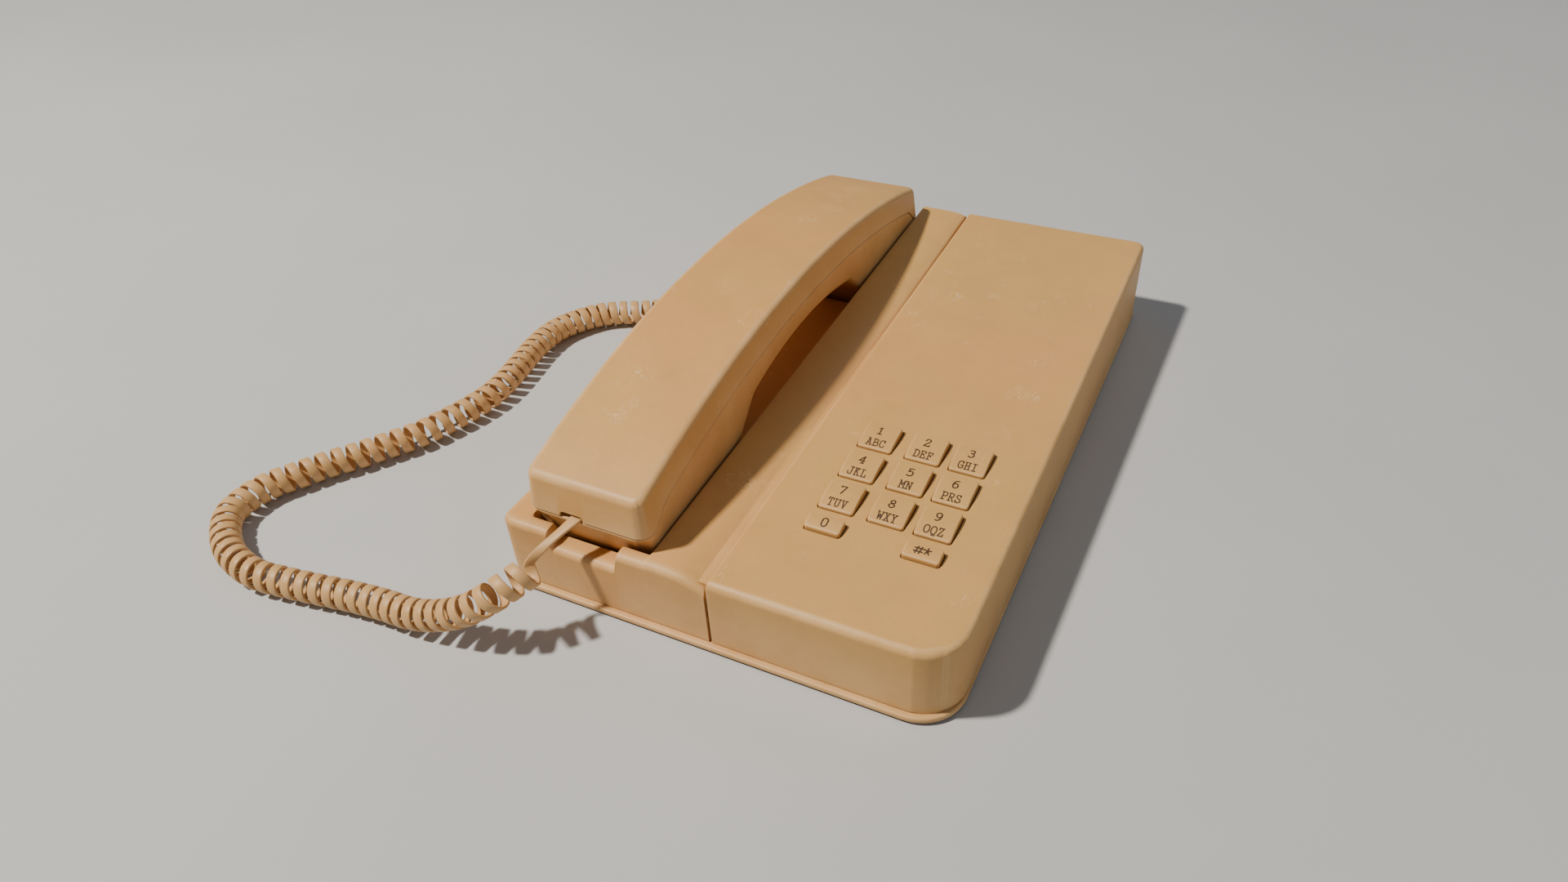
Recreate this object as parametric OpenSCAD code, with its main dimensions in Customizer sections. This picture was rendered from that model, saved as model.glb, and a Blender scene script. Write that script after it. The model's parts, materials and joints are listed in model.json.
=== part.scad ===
// Corded desk telephone: a flat base with a handset cradle on the left and a
// keypad on the right, a handset, and the curly cord that joins them.
// The origin is on the table under the middle of the base. X runs to the right,
// Y to the back and Z up. All sizes are in millimetres.

/* [Base] */
// Width of the two covers together
base_w = 144; // [143:0.5:147]
// Depth of the covers from front to back
base_d = 229; // [227:0.5:232]
// Height of the top surface at the front edge
front_h = 26.5; // [26:0.5:28]
// Height of the top surface at the back edge
rear_h = 33; // [32:0.5:36]
// Plan radius of the front right corner
front_right_r = 14; // [10:1:18]
// Plan radius of the other three corners
corner_r = 4; // [3.5:0.5:6]
// Wall thickness of the covers
cover_t = 2.2; // [2:0.1:2.4]
// X of the groove between the cradle cover and the keypad cover
seam_x = -1.2; // [-2:0.2:0]
// Width of that groove
seam_gap = 0.5; // [0.3:0.1:0.8]
// How far the tray's lip stands out at the front
lip_front = 1.8; // [1:0.2:2.4]
// How far the tray's lip stands out on the other sides
lip_side = 0.4; // [0.2:0.1:0.8]

/* [Cradle] */
// Height of the two lobes in front of the handset
lobe_h = 26; // [25.5:0.1:26.2]
// Height of the pocket floors under the two ends of the handset
pocket_z = 15; // [14.6:0.2:15]
// Height of the bridge between the two pockets
bridge_z = 21; // [20:0.5:22]
// Height of the notch that the cord passes over
notch_z = 20; // [19:0.5:21]
// Depth of the hollow beside the handset at its front end
ramp_front_drop = 1.2; // [1:0.1:1.6]
// Depth of the hollow beside the handset at its back end
ramp_rear_drop = 3.6; // [3:0.1:3.8]

/* [Keypad] */
// Width of a key
key_w = 11.2; // [10.6:0.1:11.4]
// Depth of a digit key
key_d = 11.5; // [11:0.1:11.8]
// Depth of the two short keys in the last row
short_key_d = 5.4; // [5:0.1:6]
// How far a key stands above the panel
key_proud = 2; // [1.8:0.1:2.4]
// How far a key can be pressed
key_travel = 1.8; // [1.5:0.1:1.8]
// Gap round each key
key_gap = 0.3; // [0.2:0.05:0.4]

/* [Handset] */
// Length of the handset
handset_l = 217; // [216:0.5:217.5]
// Width of the handset
handset_w = 40; // [39:0.2:40.2]
// Height of the handset's back at its crown when it lies in the cradle
crown_z = 60.4; // [60:0.2:62]
// Radius of the long arch of its back
arch_r = 368; // [360:4:380]
// Wall thickness of the handset shells
shell_t = 2; // [1.8:0.1:2.2]

/* [Cord] */
// Outer diameter of the curly part
coil_d = 9.8; // [9:0.1:9.8]
// Width of the flat lead
lead_w = 3.6; // [3:0.1:4]
// Thickness of the flat lead
lead_t = 1.3; // [1:0.1:1.5]

/* [Hidden] */
$fn = 48;
ARC_FN = 360;

plastic = [0.78, 0.65, 0.47];
rubber = [0.16, 0.15, 0.15];
steel = [0.68, 0.69, 0.71];
gold = [0.85, 0.66, 0.30];
laminate = [0.24, 0.40, 0.24];
black_part = [0.13, 0.13, 0.14];

// Base plan
half_w = base_w / 2;
front_y = -(base_d + lip_front + lip_side) / 2 + lip_front;
rear_y = front_y + base_d;
seam_l = seam_x - seam_gap / 2;
seam_r = seam_x + seam_gap / 2;
tilt = atan((rear_h - front_h) / base_d);
tongue = 3;
tongue_t = 2;

// Heights in the tray
foot_z = 0.5;
lip_top = 2.5;
floor_top = 2.5;
rim_top = 8;
rim_t = 1.4;
rim_gap = 0.2;
pad_top = 6;

// Handset place and profile
handset_x = -half_w + 30;
handset_y = -1;
half_l = handset_l / 2;
end_r = 4.5;
back_t = 9;
sole_z = 15.4;
chin_z = 31;
heel_z = 18;
chin_run = 4;
grip_top = 41.4;
grip_r = 150;
grip_half = 40;
throat_half = 52;
throat_z = 24;
pad_inner = 56;
pad_outer = 102;
dip_half = 98;
dip_end = 104;
parting_end_z = 31.5;
ear_y = 80;
mic_y = -84;
handset_screw_y = 30;
handset_boss_z = 45;

// Where the lead enters the front end of the handset
cord_x = -45;
cord_z = 32.2;
cord_face_y = handset_y - half_l;

// Pocket round the handset
pocket_gap = 0.7;
pocket_half = handset_w / 2 + pocket_gap;
pocket_r_x = handset_x + pocket_half;
pocket_l_x = handset_x - pocket_half;
chin_slope = chin_run / (chin_z - heel_z);
pocket_lobe_y = half_l - (chin_z - lobe_h) * chin_slope + pocket_gap;
pocket_floor_y = pocket_lobe_y - (lobe_h - pocket_z) * chin_slope;
bridge_half = 49;
notch_l_x = -54.6;
notch_r_x = -31.1;
ramp_r = 40.5;

// Keypad layout: the columns are unevenly spaced
key_x = [20.6, 36.3, 50.6];
key_row = [76.3, 61.3, 46.3];
short_row = 33.5;
key_top_r = 47;
flange_w = 12.8;
flange_over = 0.8;
flange_top = -2.6;
flange_t = 1;
stem_end = -4.6;
mat_top = -7;
mat_t = 1;
pcb_t = 1.6;
keypad_pcb_top = mat_top - mat_t;
mat_x = [14.4, 57];
mat_v = [29, 83];
keypad_pcb_x = [7, 59.6];
keypad_pcb_v = [22, 90];
keypad_post_x = [10.6, 56];
keypad_post_v = [25.5, 86.5];

// Boards, jacks and hook
main_x = [4, 52];
main_y = [-84, 56];
main_z = 6.5;
main_post_inset = 4;
case_screw_at = [[-64.6, -97], [-64.6, 97], [64, -84], [62, 92], [9, 98]];
case_post_top = [12, 12, 22, 26, 26];
ringer_at = [40, 84];
ringer_r = 15;
line_jack_x = 27;
line_jack_w = 14;
cord_jack_y = 46;
cord_jack_w = 12;
cord_jack_z = 8;
hook_y = 70;
hook_r = 3.5;
hook_flange_r = 5;
foot_r = 6;
foot_at = [for (x = [-54, 52], y = [-98, 98]) [x, y]];

// Cord routes, from the base to the handset
coil_route = [
    [-92, 45, 5.6], [-103, 40, 5], [-114, 33, 5], [-125, 28, 5], [-132, 23, 5],
    [-138, 15, 5], [-142, 5, 5], [-142, -8, 5], [-140, -20, 5], [-138, -33, 5],
    [-138, -43, 5], [-140, -53, 5], [-143, -62, 5], [-147, -72, 5], [-153, -81, 5],
    [-159, -90, 5], [-166, -99, 5], [-171, -107, 5], [-176, -115, 5], [-178, -123, 5],
    [-177, -132, 5], [-170, -140, 5], [-160, -146, 5], [-147, -149, 5], [-135, -148, 5],
    [-122, -146, 5], [-110, -144, 5], [-98, -143, 5.5], [-87, -143, 6.5], [-77, -142, 9],
    [-67, -140, 13.5], [-58, -137, 20], [-52, -134, 25], [-46, -131, 30]
];
lead_base_route = [
    [-72.4, 46, 8], [-76, 46, 8], [-80, 46, 7.6], [-84, 46, 6.9], [-88, 45.9, 6.2], [-91.9, 45.05, 5.6]
];
lead_handset_route = [
    [cord_x, cord_face_y, cord_z], [cord_x, -112, cord_z], [-45.4, -116, 32], [-46, -120, 31.6],
    [-46.6, -125, 31.2]
];

// ---------- general shapes ----------

// Rectangle with its own radius at each corner: front left, front right, back right, back left
module outline(x0, x1, y0, y1, r) {
    polygon([
        [x0 + r[0], y0], [x1 - r[1], y0], [x1, y0 + r[1]], [x1, y1 - r[2]],
        [x1 - r[2], y1], [x0 + r[3], y1], [x0, y1 - r[3]], [x0, y0 + r[0]]
    ]);
    if (r[0] > 0) translate([x0 + r[0], y0 + r[0]]) circle(r = r[0]);
    if (r[1] > 0) translate([x1 - r[1], y0 + r[1]]) circle(r = r[1]);
    if (r[2] > 0) translate([x1 - r[2], y1 - r[2]]) circle(r = r[2]);
    if (r[3] > 0) translate([x0 + r[3], y1 - r[3]]) circle(r = r[3]);
}

// A side view, drawn as Y and Z, made solid from x0 to x1
module from_side(x0, x1) {
    translate([x0, 0, 0]) rotate([90, 0, 90]) linear_extrude(x1 - x0) children();
}

// Everything under the sloping top surface, less a thickness t
module under_top(x0, x1, y0, y1, t) {
    rise = tan(tilt);
    from_side(x0, x1) polygon([
        [y0, 0], [y1, 0],
        [y1, front_h + (y1 - front_y) * rise - t],
        [y0, front_h + (y0 - front_y) * rise - t]
    ]);
}

// The frame of the keypad panel: X across, Y up the slope from the front edge, Z out of it
module on_panel() {
    translate([0, front_y, front_h]) rotate([tilt, 0, 0]) children();
}

module block(x0, x1, y0, y1, z0, z1) {
    translate([x0, y0, z0]) cube([x1 - x0, y1 - y0, z1 - z0]);
}

module peg(x, y, z0, z1, r) {
    translate([x, y, z0]) cylinder(r = r, h = z1 - z0);
}

function unit(v) = v / norm(v);
function heading(p, i) = unit(p[min(i + 1, len(p) - 1)] - p[max(i - 1, 0)]);
function ring(p, i, w, h, sides) =
    let (along = heading(p, i), across = unit(cross(along, [0, 0, 1])), up = cross(across, along))
    [for (k = [0:sides - 1]) p[i] + across * w / 2 * cos(360 * k / sides) + up * h / 2 * sin(360 * k / sides)];

// An oval tube, w wide and h high, through the points p
module sweep(p, w, h, sides = 8) {
    last = (len(p) - 1) * sides;
    polyhedron(
        [for (i = [0:len(p) - 1]) each ring(p, i, w, h, sides)],
        concat(
            [[for (k = [0:sides - 1]) k]],
            [[for (k = [sides - 1:-1:0]) last + k]],
            [for (i = [0:sides:last - 1], k = [0:sides - 1]) [i + k, i + sides + k, i + (k + 1) % sides]],
            [for (i = [0:sides:last - 1], k = [0:sides - 1])
                [i + (k + 1) % sides, i + sides + k, i + sides + (k + 1) % sides]]
        )
    );
}

// ---------- base: housing ----------

module tray_plan(inset) {
    outline(
        -half_w - lip_side + inset, half_w + lip_side - inset,
        front_y - lip_front + inset, rear_y + lip_side - inset,
        [corner_r, front_right_r, corner_r, corner_r]
    );
}

// The cover outline moved in by a distance
module cover_plan(inset) {
    outline(
        -half_w + inset, half_w - inset, front_y + inset, rear_y - inset,
        [corner_r - inset / 2, front_right_r - inset, corner_r - inset / 2, corner_r - inset / 2]
    );
}

module base_tray() {
    rim_out = cover_t + rim_gap;
    color(plastic) difference() {
        union() {
            translate([0, 0, foot_z]) linear_extrude(floor_top - foot_z) tray_plan(0);
            translate([0, 0, 1]) linear_extrude(lip_top - 1) difference() {
                tray_plan(0);
                cover_plan(1);
            }
            translate([0, 0, 1]) linear_extrude(rim_top - 1) difference() {
                cover_plan(rim_out);
                cover_plan(rim_out + rim_t);
            }
            for (p = case_screw_at) peg(p[0], p[1], 1, pad_top, 4.4);
            for (x = main_x, y = main_y) main_post(x, y);
            peg(handset_x, hook_y, 1, 3.2, 2);
        }
        for (p = case_screw_at) {
            peg(p[0], p[1], 0, 3.6, 3.2);
            peg(p[0], p[1], 0, pad_top + 1, 1.7);
        }
        for (x = main_x, y = main_y) main_post_bore(x, y);
        for (p = foot_at) peg(p[0], p[1], 0, 1.5, foot_r);
        for (k = [-2:2]) block(ringer_at[0] - 9, ringer_at[0] + 9, ringer_at[1] + 4 * k - 0.8,
            ringer_at[1] + 4 * k + 0.8, 0, 4);
        block(line_jack_x - line_jack_w / 2 - 0.2, line_jack_x + line_jack_w / 2 + 0.2, 98, rear_y - 1, floor_top, 20);
        block(-half_w + 1, -half_w + 12, cord_jack_y - cord_jack_w / 2 - 0.2,
            cord_jack_y + cord_jack_w / 2 + 0.2, floor_top, 20);
    }
}

function inward(v, pair) = v == pair[0] ? v + main_post_inset : v - main_post_inset;

module main_post(x, y) {
    peg(inward(x, main_x), inward(y, main_y), 1, main_z, 3);
}

module main_post_bore(x, y) {
    peg(inward(x, main_x), inward(y, main_y), 2.9, main_z + 1, 0.95);
}

module pocket_profile() {
    polygon([
        [handset_y - pocket_lobe_y, 60], [handset_y - pocket_lobe_y, lobe_h],
        [handset_y - pocket_floor_y, pocket_z], [handset_y - bridge_half - 2, pocket_z],
        [handset_y - bridge_half, bridge_z], [handset_y + bridge_half, bridge_z],
        [handset_y + bridge_half + 2, pocket_z], [handset_y + pocket_floor_y, pocket_z],
        [handset_y + pocket_lobe_y, lobe_h], [handset_y + pocket_lobe_y, 60]
    ]);
}

// The long hollow that lets fingers reach under the handset from the right
module ramp_hollow() {
    front_axis = front_h - ramp_front_drop + ramp_r;
    rear_axis = rear_h - ramp_rear_drop + ramp_r;
    lean = atan((rear_axis - front_axis) / base_d);
    over = 4;
    translate([pocket_r_x, front_y - over, front_axis - over * tan(lean)])
        rotate([-90 + lean, 0, 0])
        cylinder(r = ramp_r, h = base_d + 3 * over, $fn = ARC_FN);
}

module cradle_cavity() {
    y0 = front_y + cover_t;
    y1 = rear_y - cover_t;
    x0 = -half_w + cover_t;
    wall_x = pocket_l_x - cover_t;
    under_ramp = cover_t + ramp_rear_drop + 0.2;
    block(x0, pocket_r_x + cover_t, y0, y1, 0, pocket_z - cover_t);
    block(x0, pocket_r_x + cover_t, handset_y - bridge_half + cover_t, handset_y + bridge_half - cover_t,
        0, bridge_z - cover_t);
    block(x0, wall_x, y0, y1, 0, lobe_h - cover_t);
    under_top(pocket_r_x + cover_t, 0, y0, y1, under_ramp);
}

// Side view of a ledge that follows the top surface a distance t inside it
module tongue_profile(t, z0) {
    y0 = front_y + t;
    y1 = rear_y - t;
    polygon([
        [y0, z0], [y1, z0],
        [y1, front_h + (y1 - front_y) * tan(tilt) - t], [y0, front_h + (y0 - front_y) * tan(tilt) - t]
    ]);
}

module cradle_cover() {
    color(plastic) difference() {
        union() {
            difference() {
                intersection() {
                    translate([0, 0, lip_top]) linear_extrude(40) outline(
                        -half_w, seam_l, front_y, rear_y, [corner_r, 0, 0, corner_r]);
                    union() {
                        under_top(pocket_r_x, 0, front_y - 1, rear_y + 1, 0);
                        block(-half_w - 1, pocket_r_x, front_y - 1, rear_y + 1, 0, lobe_h);
                    }
                }
                ramp_hollow();
                from_side(pocket_l_x, pocket_r_x) pocket_profile();
                block(notch_l_x, notch_r_x, front_y - 1, handset_y - pocket_floor_y, notch_z, 60);
                cradle_cavity();
            }
            for (i = [0, 1]) peg(case_screw_at[i][0], case_screw_at[i][1], pad_top, 14, 3.2);
            peg(handset_x, hook_y, 10.8, pocket_z - 0.5, hook_flange_r + 0.8);
            from_side(seam_l - tongue, seam_r + tongue) difference() {
                tongue_profile(cover_t + rim_gap, rim_top + rim_gap);
                tongue_profile(cover_t + rim_gap + tongue_t, 0);
            }
        }
        for (i = [0, 1]) peg(case_screw_at[i][0], case_screw_at[i][1], 0, case_post_top[i], 1.55);
        peg(handset_x, hook_y, 5, 20, hook_r + 0.3);
        peg(handset_x, hook_y, 5, pocket_z - cover_t, hook_flange_r + 0.2);
        block(-half_w - 1, -half_w + cover_t + 1, cord_jack_y - cord_jack_w / 2 - 0.2,
            cord_jack_y + cord_jack_w / 2 + 0.2, 0, 12.6);
    }
}

module key_hole(x, v, d) {
    w = key_w + 2 * key_gap;
    translate([x, v, -cover_t - 1]) linear_extrude(cover_t + 3) outline(
        -w / 2, w / 2, -d / 2 - key_gap, d / 2 + key_gap, [1, 1, 1, 1]);
}

module keypad_cover() {
    color(plastic) difference() {
        union() {
            difference() {
                intersection() {
                    translate([0, 0, lip_top]) linear_extrude(40) outline(
                        seam_r, half_w, front_y, rear_y, [0, front_right_r, corner_r, 0]);
                    under_top(-half_w, half_w, front_y - 1, rear_y + 1, 0);
                }
                intersection() {
                    linear_extrude(60) outline(
                        -20, half_w - cover_t, front_y + cover_t, rear_y - cover_t,
                        [0, front_right_r - cover_t, corner_r - cover_t / 2, 0]);
                    under_top(-half_w, half_w, front_y, rear_y, cover_t);
                }
            }
            on_panel() for (x = keypad_post_x, v = keypad_post_v)
                peg(x, v, keypad_pcb_top, -cover_t + 0.5, 3);
            intersection() {
                under_top(-half_w, half_w, front_y, rear_y, cover_t / 2);
                for (i = [2:4]) peg(case_screw_at[i][0], case_screw_at[i][1], pad_top, 40, 3.4);
            }
        }
        on_panel() {
            for (x = key_x, v = key_row) key_hole(x, v, key_d);
            for (x = [key_x[0], key_x[2]]) key_hole(x, short_row, short_key_d);
            for (x = keypad_post_x, v = keypad_post_v) peg(x, v, keypad_pcb_top - 1, -3.2, 0.95);
        }
        for (i = [2:4]) peg(case_screw_at[i][0], case_screw_at[i][1], 0, case_post_top[i], 1.55);
        block(line_jack_x - line_jack_w / 2 - 0.2, line_jack_x + line_jack_w / 2 + 0.2,
            rear_y - cover_t - 1, rear_y + 1, 0, 15.7);
    }
}

module rubber_feet() {
    color(rubber) for (p = foot_at) peg(p[0], p[1], 0, 1.5, foot_r);
}

// A pan-head screw that points up from z
module screw_up(x, y, z, head_r, shank_r, reach) {
    difference() {
        union() {
            peg(x, y, z, z + 1.8, head_r);
            peg(x, y, z + 1.5, z + reach, shank_r);
        }
        for (a = [0, 90]) translate([x, y, z]) rotate([0, 0, a]) cube([head_r * 1.2, 0.7, 1.6], center = true);
    }
}

module cover_screws() {
    color(steel) for (i = [0:4])
        screw_up(case_screw_at[i][0], case_screw_at[i][1], 1.8, 2.9, 1.5, case_post_top[i] - 3.2);
}

// ---------- base: electrics ----------

module main_board() {
    color(laminate) difference() {
        block(main_x[0], main_x[1], main_y[0], main_y[1], main_z, main_z + pcb_t);
        for (x = main_x, y = main_y) peg(inward(x, main_x), inward(y, main_y), 0, 20, 1.3);
    }
}

module board_components() {
    z = main_z + pcb_t;
    color(black_part) {
        block(14, 34, 30, 46, z, z + 13);
        block(38, 49, 8, 28, z, z + 10);
        block(24, 46, -15.6, -11, z, z + 3.6);
        block(12, 30, -60, -53, z, z + 3.6);
        block(36, 48, -66, -58, z, z + 5);
        for (p = [[14, 2, 4, 11], [14, 14, 4, 11], [25, 4, 3, 8], [47, -26, 3, 7], [26, 18, 2.5, 7]])
            peg(p[0], p[1], z, z + p[3], p[2]);
        for (k = [0:5]) block(38, 46, -46 + 4 * k, -44.2 + 4 * k, z, z + 1.8);
    }
}

// A pan-head screw that points down from the face at z
module screw_down(x, y, z, reach) {
    difference() {
        union() {
            peg(x, y, z, z + 1.4, 2);
            peg(x, y, z - reach, z + 0.5, 0.9);
        }
        for (a = [0, 90]) translate([x, y, z + 1.4]) rotate([0, 0, a]) cube([2.4, 0.5, 1.2], center = true);
    }
}

module board_screws() {
    color(steel) {
        for (x = main_x, y = main_y) screw_down(inward(x, main_x), inward(y, main_y), main_z + pcb_t, 4.8);
        on_panel() for (x = keypad_post_x, v = keypad_post_v)
            translate([x, v, keypad_pcb_top - pcb_t]) mirror([0, 0, 1]) screw_down(0, 0, 0, 5.6);
    }
}

module keypad_board() {
    color(laminate) on_panel() difference() {
        block(keypad_pcb_x[0], keypad_pcb_x[1], keypad_pcb_v[0], keypad_pcb_v[1],
            keypad_pcb_top - pcb_t, keypad_pcb_top);
        for (x = keypad_post_x, v = keypad_post_v) peg(x, v, -20, 0, 1.3);
    }
}

// Silicone sheet with one dome under each key
module key_dome_mat() {
    color([0.55, 0.56, 0.58]) on_panel() {
        block(mat_x[0], mat_x[1], mat_v[0], mat_v[1], mat_top - mat_t, mat_top);
        for (x = key_x, v = key_row) dome(x, v);
        for (x = [key_x[0], key_x[2]]) dome(x, short_row);
    }
}

module dome(x, v) {
    translate([x, v, mat_top - 0.2]) cylinder(r1 = 2.5, r2 = 1.9, h = stem_end - mat_top + 0.2);
}

// Flat cable folded between the keypad board and the main board
module keypad_ribbon() {
    v = keypad_pcb_v[1] - 1;
    y = front_y + v * cos(tilt);
    top = front_h + v * sin(tilt) + keypad_pcb_top - pcb_t;
    low = main_z + pcb_t;
    color([0.75, 0.75, 0.78]) from_side(26, 44) polygon([
        [y - 6, top - 1.4], [y + 3, top - 1.2], [y + 4, low + 1], [y + 9, low],
        [y + 9, low + 0.7], [y + 4.7, low + 1.7], [y + 3.6, top - 0.5], [y - 6, top - 0.7]
    ]);
}

module ringer() {
    color(black_part) difference() {
        union() {
            peg(ringer_at[0], ringer_at[1], floor_top, floor_top + 9, ringer_r);
            block(ringer_at[0] - 19, ringer_at[0] + 19, ringer_at[1] - 3, ringer_at[1] + 3, floor_top, floor_top + 2);
        }
        peg(ringer_at[0], ringer_at[1], 0, floor_top + 5, ringer_r - 1.5);
        peg(ringer_at[0], ringer_at[1], 0, 20, 2);
    }
}

module line_jack() {
    x0 = line_jack_x - line_jack_w / 2;
    color([0.20, 0.19, 0.18]) difference() {
        block(x0, x0 + line_jack_w, 99, rear_y - 0.2, floor_top, 15.5);
        block(line_jack_x - 4.9, line_jack_x + 4.9, 102, rear_y + 1, 5.4, 12.2);
        block(line_jack_x - 3, line_jack_x + 3, 102, rear_y + 1, 4.2, 5.6);
        block(line_jack_x - 1.6, line_jack_x + 1.6, 102, rear_y + 1, 3.3, 4.4);
    }
}

module line_jack_contacts() {
    color(gold) for (k = [-1.5:1.5]) from_side(line_jack_x + 1.2 * k - 0.25, line_jack_x + 1.2 * k + 0.25)
        polygon([[102, 8.6], [102, 9.2], [112, 12.2], [112, 11.6]]);
}

module cord_jack() {
    x0 = -half_w + 0.2;
    color([0.20, 0.19, 0.18]) difference() {
        block(x0, x0 + 14.2, cord_jack_y - cord_jack_w / 2, cord_jack_y + cord_jack_w / 2, floor_top, 12.4);
        block(x0 - 1, x0 + 12.2, cord_jack_y - 4.1, cord_jack_y + 4.1, cord_jack_z - 2.9, cord_jack_z + 2.9);
    }
}

module base_plug() {
    x0 = -half_w - 0.4;
    color([0.88, 0.86, 0.80]) {
        block(x0, x0 + 11.6, cord_jack_y - 3.8, cord_jack_y + 3.8, cord_jack_z - 1.6, cord_jack_z + 2.7);
        from_side_y(cord_jack_y - 1.5, cord_jack_y + 1.5) polygon([
            [x0 + 1, cord_jack_z - 2.7], [x0 + 11, cord_jack_z - 2], [x0 + 11, cord_jack_z - 1.4],
            [x0 + 8, cord_jack_z - 1.4], [x0 + 1, cord_jack_z - 2.2]
        ]);
    }
}

// A front view, drawn as X and Z, made solid from y0 to y1
module from_side_y(y0, y1) {
    translate([0, y1, 0]) rotate([90, 0, 0]) linear_extrude(y1 - y0) children();
}

// Button under the ear end of the handset; lifting the handset lets it rise
module hook_plunger() {
    color(plastic) {
        peg(handset_x, hook_y, 8, sole_z, hook_r);
        peg(handset_x, hook_y, 7, 8.6, hook_flange_r);
    }
}

hook_spring_turns = 3.5;
hook_spring_steps = 12;
hook_spring_r = 3.2;
module hook_spring() {
    low = 2.9;
    high = 6.6;
    n = hook_spring_turns * hook_spring_steps;
    color(steel) sweep([for (i = [0:n]) [
        handset_x + hook_spring_r * cos(360 * i / hook_spring_steps),
        hook_y + hook_spring_r * sin(360 * i / hook_spring_steps),
        low + (high - low) * i / n
    ]], 0.6, 0.6, 6);
}

module hook_switch() {
    x0 = handset_x + 7;
    color(black_part) {
        block(x0, x0 + 6, hook_y - 6.5, hook_y + 6.5, floor_top, 9);
        block(x0 - 3.4, x0 + 1, hook_y - 1.5, hook_y + 1.5, 5.9, 6.4);
    }
}

module base_wiring() {
    color([0.55, 0.12, 0.10]) {
        sweep([
            [-28.4, 64, 4.5], [-24, 61, 4.5], [-14, 50, 5], [-4, 38, 6], [1, 30, 10], [6, 28, 10.5], [10, 28, 9.4]
        ], 1.6, 1.6);
        sweep([
            [-57, 46, 6], [-50, 41, 4.5], [-36, 30, 4.2], [-18, 20, 5], [-4, 14, 8], [2, 10, 11], [6, 8, 11],
            [9, 6, 9.4]
        ], 1.6, 1.6);
        sweep([
            [40, 67.8, 6], [40, 62, 6], [38, 57.5, 9], [36, 54, 11], [36, 50, 9.4]
        ], 1.6, 1.6);
        sweep([
            [26, 98.4, 8], [21, 93, 6], [18.6, 84, 6], [18, 66, 5], [16, 58, 9], [16, 54, 11], [16, 50, 9.4]
        ], 1.6, 1.6);
    }
}

// ---------- keys ----------

module key_cap(x, v, d) {
    color(plastic) on_panel() translate([x, v, 0]) {
        intersection() {
            translate([0, 0, flange_top - 0.2]) linear_extrude(12) outline(
                -key_w / 2, key_w / 2, -d / 2, d / 2, [0.8, 0.8, 0.8, 0.8]);
            translate([-key_w, 0, key_proud - key_top_r]) rotate([0, 90, 0])
                cylinder(r = key_top_r, h = 2 * key_w, $fn = ARC_FN);
        }
        block(-flange_w / 2, flange_w / 2, -d / 2 - flange_over, d / 2 + flange_over,
            flange_top - flange_t, flange_top);
        peg(0, 0, stem_end, flange_top - 0.5, 1.5);
    }
}

module digit_key(n) {
    key_cap(key_x[(n - 1) % 3], key_row[floor((n - 1) / 3)], key_d);
}

module short_key(column) {
    key_cap(key_x[column], short_row, short_key_d);
}

// ---------- handset ----------

function grip_edge_z(t) = grip_top - grip_r + sqrt(pow(grip_r + t, 2) - pow(grip_half + t, 2));

// Side view of the handset, moved in by t all round
module handset_profile(t) {
    translate([handset_y, 0]) difference() {
        intersection() {
            translate([0, crown_z - arch_r]) circle(r = arch_r - t, $fn = ARC_FN * 2);
            polygon([
                [-half_l - chin_run + t, 80], [-half_l - chin_run + t, 2 * chin_z - heel_z],
                [-half_l + chin_run + t, heel_z], [-pad_outer + t, sole_z + t],
                [pad_outer - t, sole_z + t], [half_l - chin_run - t, heel_z],
                [half_l + chin_run - t, 2 * chin_z - heel_z], [half_l + chin_run - t, 80]
            ]);
        }
        intersection() {
            translate([0, grip_top - grip_r]) circle(r = grip_r + t, $fn = ARC_FN);
            square([2 * (grip_half + t), 200], center = true);
        }
        polygon([
            [-grip_half - t, grip_edge_z(t)], [-throat_half - t, throat_z], [-pad_inner - t, sole_z],
            [-pad_inner - t, 0], [pad_inner + t, 0], [pad_inner + t, sole_z],
            [throat_half + t, throat_z], [grip_half + t, grip_edge_z(t)]
        ]);
    }
}

module handset_solid(t) {
    side = handset_w / 2 - t;
    intersection() {
        from_side(handset_x - side, handset_x + side) handset_profile(t);
        translate([handset_x, handset_y, 0]) linear_extrude(80) outline(
            -side, side, -half_l + t, half_l - t, [for (k = [0:3]) end_r - t]);
    }
}

// Everything below the parting line between the two shells
module under_parting() {
    r = arch_r - back_t;
    dip_z = crown_z - arch_r + sqrt(pow(r, 2) - pow(dip_half, 2));
    from_side(handset_x - handset_w, handset_x + handset_w) translate([handset_y, 0]) {
        intersection() {
            translate([0, crown_z - arch_r]) circle(r = r, $fn = ARC_FN * 2);
            translate([-dip_half, 0]) square([2 * dip_half, 100]);
        }
        polygon([
            [-half_l - 9, 0], [half_l + 9, 0], [half_l + 9, parting_end_z], [dip_end, parting_end_z],
            [dip_half, dip_z], [-dip_half, dip_z], [-dip_end, parting_end_z], [-half_l - 9, parting_end_z]
        ]);
    }
}

module handset_back() {
    color(plastic) difference() {
        union() {
            difference() {
                handset_solid(0);
                handset_solid(shell_t);
                under_parting();
            }
            intersection() {
                handset_solid(1);
                for (s = [-1, 1]) peg(handset_x, handset_y + s * handset_screw_y, handset_boss_z, 80, 3.4);
            }
        }
        for (s = [-1, 1]) peg(handset_x, handset_y + s * handset_screw_y, 40, 53, 1.55);
        block(cord_x - 5.5, cord_x + 3, cord_face_y - 1, cord_face_y + 3, chin_z - 1, cord_z + 1.4);
    }
}

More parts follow.
